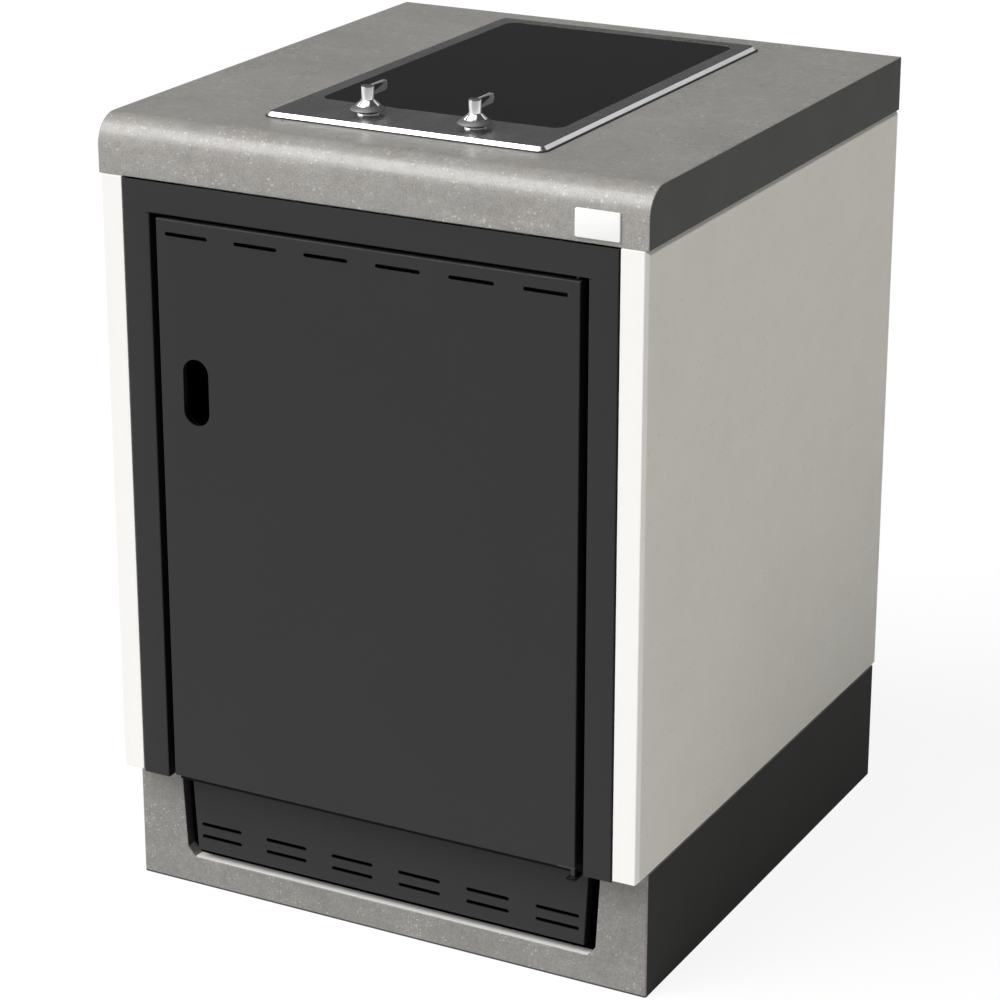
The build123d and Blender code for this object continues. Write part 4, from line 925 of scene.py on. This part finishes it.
def knob_skirt(side):
    """Dished satin ring under the cone."""
    profile = [(6, 7.9), (12.9, 7.9), (17.6, 4.72), (18.3, 4.6), (18.7, 4.75), (18.8, 5.1), (18.7, 5.45),
               (18.3, 5.9), (13.5, 9.1), (6, 9.1)]
    return knob_turning(f"{hand(side)}_knob_ring", profile, side, SKIRT_METAL)


def collar(side):
    """Fixed ring on the hob plate round a knob's spindle."""
    profile = [(5, 0), (12, 0), (12, 1.3), (11.88, 1.75), (11.5, 2.08), (11.0, 2.2), (5, 2.2)]
    return knob_turning(f"{hand(side)}_knob_collar", profile, side, KNOB_METAL)


for side, label in ((-1, "left"), (1, "right")):
    hang(knob(side), f"{label}_knob", "polished_metal", f"knob_{label}")
    hang(knob_skirt(side), f"{label}_knob", "satin_metal", f"knob_skirt_{label}")
    hang(collar(side), "cabinet", "polished_metal", "knob_collars")


# Screws and bolts

# The head's chamfer is a share of its height, and its crown and socket are shares of its radius.
CHAMFER_SHARE = 0.3
CROWN_SHARE = 0.84
SOCKET_SHARE = 0.42


def fastener_tree():
    """A screw on every point, turned to the point's aim: chamfered head with a hexagon socket, and shank."""
    tree = bpy.data.node_groups.new("fasteners", "GeometryNodeTree")
    sockets = tree.interface
    sockets.new_socket("Places", in_out="INPUT", socket_type="NodeSocketGeometry")
    for label, value in (("Head Radius", 0.004), ("Head Height", 0.002), ("Shank Radius", 0.002),
                         ("Shank Length", 0.01), ("Socket Radius", 0.0015)):
        sockets.new_socket(label, in_out="INPUT", socket_type=NUMBER).default_value = value
    sockets.new_socket("Finish", in_out="INPUT", socket_type="NodeSocketMaterial")
    sockets.new_socket("Screws", in_out="OUTPUT", socket_type="NodeSocketGeometry")
    given = tree.nodes.new("NodeGroupInput").outputs
    result = tree.nodes.new("NodeGroupOutput").inputs

    def raised(shape, z):
        offset = put(tree, "ShaderNodeCombineXYZ", {"Z": z})
        moved = put(tree, "GeometryNodeTransform", {"Geometry": shape, "Translation": offset.outputs[0]})
        return moved.outputs[0]

    height = given["Head Height"]
    low = calc(tree, "MULTIPLY", height, 1 - CHAMFER_SHARE)
    flat = put(tree, "GeometryNodeMeshCylinder", {"Vertices": 40, "Radius": given["Head Radius"],
                                                  "Depth": low})
    flat = raised(flat.outputs["Mesh"], calc(tree, "MULTIPLY", height, (1 - CHAMFER_SHARE) / 2))
    crown_top = calc(tree, "MULTIPLY", given["Head Radius"], CROWN_SHARE)
    crown = put(tree, "GeometryNodeMeshCone", {"Vertices": 40, "Radius Top": crown_top,
                                               "Radius Bottom": given["Head Radius"],
                                               "Depth": calc(tree, "MULTIPLY", height, CHAMFER_SHARE)})
    crown = raised(crown.outputs["Mesh"], low)
    shank_low = calc(tree, "MULTIPLY", given["Shank Length"], -1.0)
    shank = put(tree, "GeometryNodeMeshCylinder", {"Vertices": 24, "Radius": given["Shank Radius"],
                                                   "Depth": calc(tree, "ADD", given["Shank Length"], low)})
    shank = raised(shank.outputs["Mesh"], calc(tree, "MULTIPLY", calc(tree, "ADD", shank_low, low), 0.5))
    hexagon = put(tree, "GeometryNodeMeshCylinder", {"Vertices": 6, "Radius": given["Socket Radius"],
                                                     "Depth": height})
    hexagon = raised(hexagon.outputs["Mesh"], height)
    solid = put(tree, "GeometryNodeMeshBoolean", operation="UNION", solver="EXACT")
    for part in (flat, crown, shank):
        tree.links.new(part, solid.inputs["Mesh 2"])
    screw = put(tree, "GeometryNodeMeshBoolean", {"Mesh 1": solid.outputs["Mesh"]}, operation="DIFFERENCE",
                solver="EXACT")
    tree.links.new(hexagon, screw.inputs["Mesh 2"])
    aim = put(tree, "GeometryNodeInputNamedAttribute", {"Name": "aim"}, data_type="FLOAT_VECTOR")
    turn = put(tree, "FunctionNodeAlignRotationToVector", {"Vector": aim.outputs["Attribute"]}, axis="Z")
    placed = put(tree, "GeometryNodeInstanceOnPoints", {"Points": given["Places"],
                                                        "Instance": screw.outputs["Mesh"],
                                                        "Rotation": turn.outputs[0]})
    real = put(tree, "GeometryNodeRealizeInstances", {"Geometry": placed.outputs[0]})
    dressed = put(tree, "GeometryNodeSetMaterial", {"Geometry": real.outputs[0], "Material": given["Finish"]})
    tree.links.new(dressed.outputs[0], result["Screws"])
    return tree


FASTENERS = fastener_tree()


def set_screws(name, node, spots, head, shank):
    """One mesh of screws. A spot is the place under the head and the way that the head faces.

    head is its radius and height, shank its radius and length.
    """
    mesh = bpy.data.meshes.new(name)
    mesh.from_pydata([Vector(place) * MM for place, _ in spots], [], [])
    aims = mesh.attributes.new("aim", "FLOAT_VECTOR", "POINT")
    for i, (_, aim) in enumerate(spots):
        aims.data[i].vector = aim
    piece = bpy.data.objects.new(name, mesh)
    bpy.context.scene.collection.objects.link(piece)
    step = piece.modifiers.new("fasteners", "NODES")
    step.node_group = FASTENERS
    sizes = {"Head Radius": head[0], "Head Height": head[1], "Shank Radius": shank[0],
             "Shank Length": shank[1], "Socket Radius": head[0] * SOCKET_SHARE}
    for item in FASTENERS.interface.items_tree:
        if item.name in sizes:
            step[item.identifier] = sizes[item.name] * MM
        elif item.name == "Finish":
            step[item.identifier] = ZINC
    settle(piece)
    hang(piece, "cabinet", "zinc_steel", node)


DOWN = -Z_AXIS
SLAB_SCREWS = [((x, y, 835), DOWN) for x in (-200, 200) for y in (-294, 314)]
PANEL_BOLTS = [((s * 291, y, z), -s * X_AXIS) for s in SIDES for y in (-260, 260) for z in (230, 760)]
BACK_SCREWS = [((s * 277.5, 333, z), Y_AXIS) for s in SIDES for z in (180, 380, 600, 790)]
CLAMP_SCREWS = [((s * 159, y, 824), DOWN) for s in SIDES for y in (-150, 190)]
set_screws("slab_screws", "worktop_screws", SLAB_SCREWS, head=(5.5, 4), shank=(3, 22))
set_screws("panel_bolts", "side_panel_bolts", PANEL_BOLTS, head=(5.5, 4), shank=(3, 20))
set_screws("back_sheet_screws", "back_screws", BACK_SCREWS, head=(4, 2), shank=(2, 6))
set_screws("clamp_screws", "hob_clamp_screws", CLAMP_SCREWS, head=(5, 4), shank=(2.5, 14))


# Floor and light

# The key's angle is in degrees.
KEY_DIRECTION = (-0.42, -0.50, 0.757)
KEY_POWER = 3.3
KEY_ANGLE = 45
AIR_AT_FLOOR = 0.5
AIR_ABOVE = 0.075

# Each card has the direction it lies in, its soft edge's inner and outer angle in degrees, and its power.
CARDS = (((0.1, -0.3, 0.95), 14, 22, 1.3), ((0.33, 0.83, 0.44), 8, 14, 0.9),
         ((-0.62, -0.78, 0.2), 9, 13, 1.6), ((-0.88, -0.4, 0.3), 11, 15, 2.2),
         ((-0.93, 0.05, 0.35), 9, 13, 1.8))

# The patch under the unit is given by half its width and depth, in metres.
FLOOR_GREY = 0.76
FLOOR_UNDER = 0.03
UNDER_X = 0.3
UNDER_Y = 0.29
GLOW_POWER = 1.05
GLOW_SHARE = 0.85


def studio():
    """Floor, key light, and air that is pale near the horizon with soft cards in it."""
    bm = bmesh.new()
    bmesh.ops.create_grid(bm, x_segments=8, y_segments=8, size=40)
    floor = finished("floor", bm, floor_paint())
    key_light()
    world = bpy.data.worlds.new("studio_air")
    bpy.context.scene.world = world
    world.use_nodes = True
    tree = world.node_tree
    tree.nodes.clear()
    place = put(tree, "ShaderNodeTexCoord")
    parts = put(tree, "ShaderNodeSeparateXYZ", {0: place.outputs["Generated"]})
    level = span(tree, parts.outputs[2], 0.04, 0.13, AIR_AT_FLOOR, AIR_ABOVE)
    for aim, inner, outer, power in CARDS:
        card = soft_card(tree, place.outputs["Generated"], aim, inner, outer, power)
        level = calc(tree, "ADD", level, card)
    colour = put(tree, "ShaderNodeCombineColor", {"Red": level, "Green": level, "Blue": level})
    air = put(tree, "ShaderNodeBackground", {"Color": colour.outputs[0], "Strength": 1.0})
    result = put(tree, "ShaderNodeOutputWorld")
    tree.links.new(air.outputs[0], result.inputs[0])


def soft_card(tree, direction, aim, inner, outer, power):
    """Light of a round white card seen towards aim; inner and outer are its edge's angles in degrees."""
    nearness = put(tree, "ShaderNodeVectorMath", {0: direction, 1: Vector(aim).normalized()},
                   operation="DOT_PRODUCT").outputs["Value"]
    edge, core = math.cos(math.radians(outer)), math.cos(math.radians(inner))
    return span(tree, nearness, edge, core, 0.0, power)


def floor_paint():
    """Matt white floor that keeps the shadow but shows nearly white to the camera and in reflections.

    It is dark under the unit, where no light would come out of the gaps.
    """
    material = bpy.data.materials.new("floor_white")
    material.use_nodes = True
    tree = material.node_tree
    tree.nodes.clear()
    glow = put(tree, "ShaderNodeEmission", {"Color": (1, 1, 1, 1), "Strength": GLOW_POWER})
    path = put(tree, "ShaderNodeLightPath")
    seen = calc(tree, "ADD", path.outputs["Is Camera Ray"], path.outputs["Is Glossy Ray"])
    seen = calc(tree, "ADD", seen, path.outputs["Is Transmission Ray"], clamp=True)
    place = put(tree, "ShaderNodeSeparateXYZ", {0: put(tree, "ShaderNodeTexCoord").outputs["Object"]})
    aside = calc(tree, "GREATER_THAN", calc(tree, "ABSOLUTE", place.outputs[0]), UNDER_X)
    ahead = calc(tree, "GREATER_THAN", calc(tree, "ABSOLUTE", place.outputs[1]), UNDER_Y)
    open_floor = calc(tree, "MAXIMUM", aside, ahead)
    grey = blend_colour(tree, open_floor, (*[FLOOR_UNDER] * 3, 1), (*[FLOOR_GREY] * 3, 1))
    paint = put(tree, "ShaderNodeBsdfDiffuse", {"Color": grey})
    share = calc(tree, "MULTIPLY", calc(tree, "MULTIPLY", seen, GLOW_SHARE), open_floor)
    both = put(tree, "ShaderNodeMixShader", {0: share, 1: paint.outputs[0], 2: glow.outputs[0]})
    result = put(tree, "ShaderNodeOutputMaterial")
    tree.links.new(both.outputs[0], result.inputs[0])
    return material


def key_light():
    """A wide soft sun from the front left."""
    data = bpy.data.lights.new("key", "SUN")
    data.energy = KEY_POWER
    data.angle = math.radians(KEY_ANGLE)
    key = bpy.data.objects.new("key", data)
    key.rotation_euler = Vector(KEY_DIRECTION).to_track_quat("Z", "Y").to_euler()
    bpy.context.scene.collection.objects.link(key)


studio()
bpy.context.scene.view_settings.view_transform = "Standard"
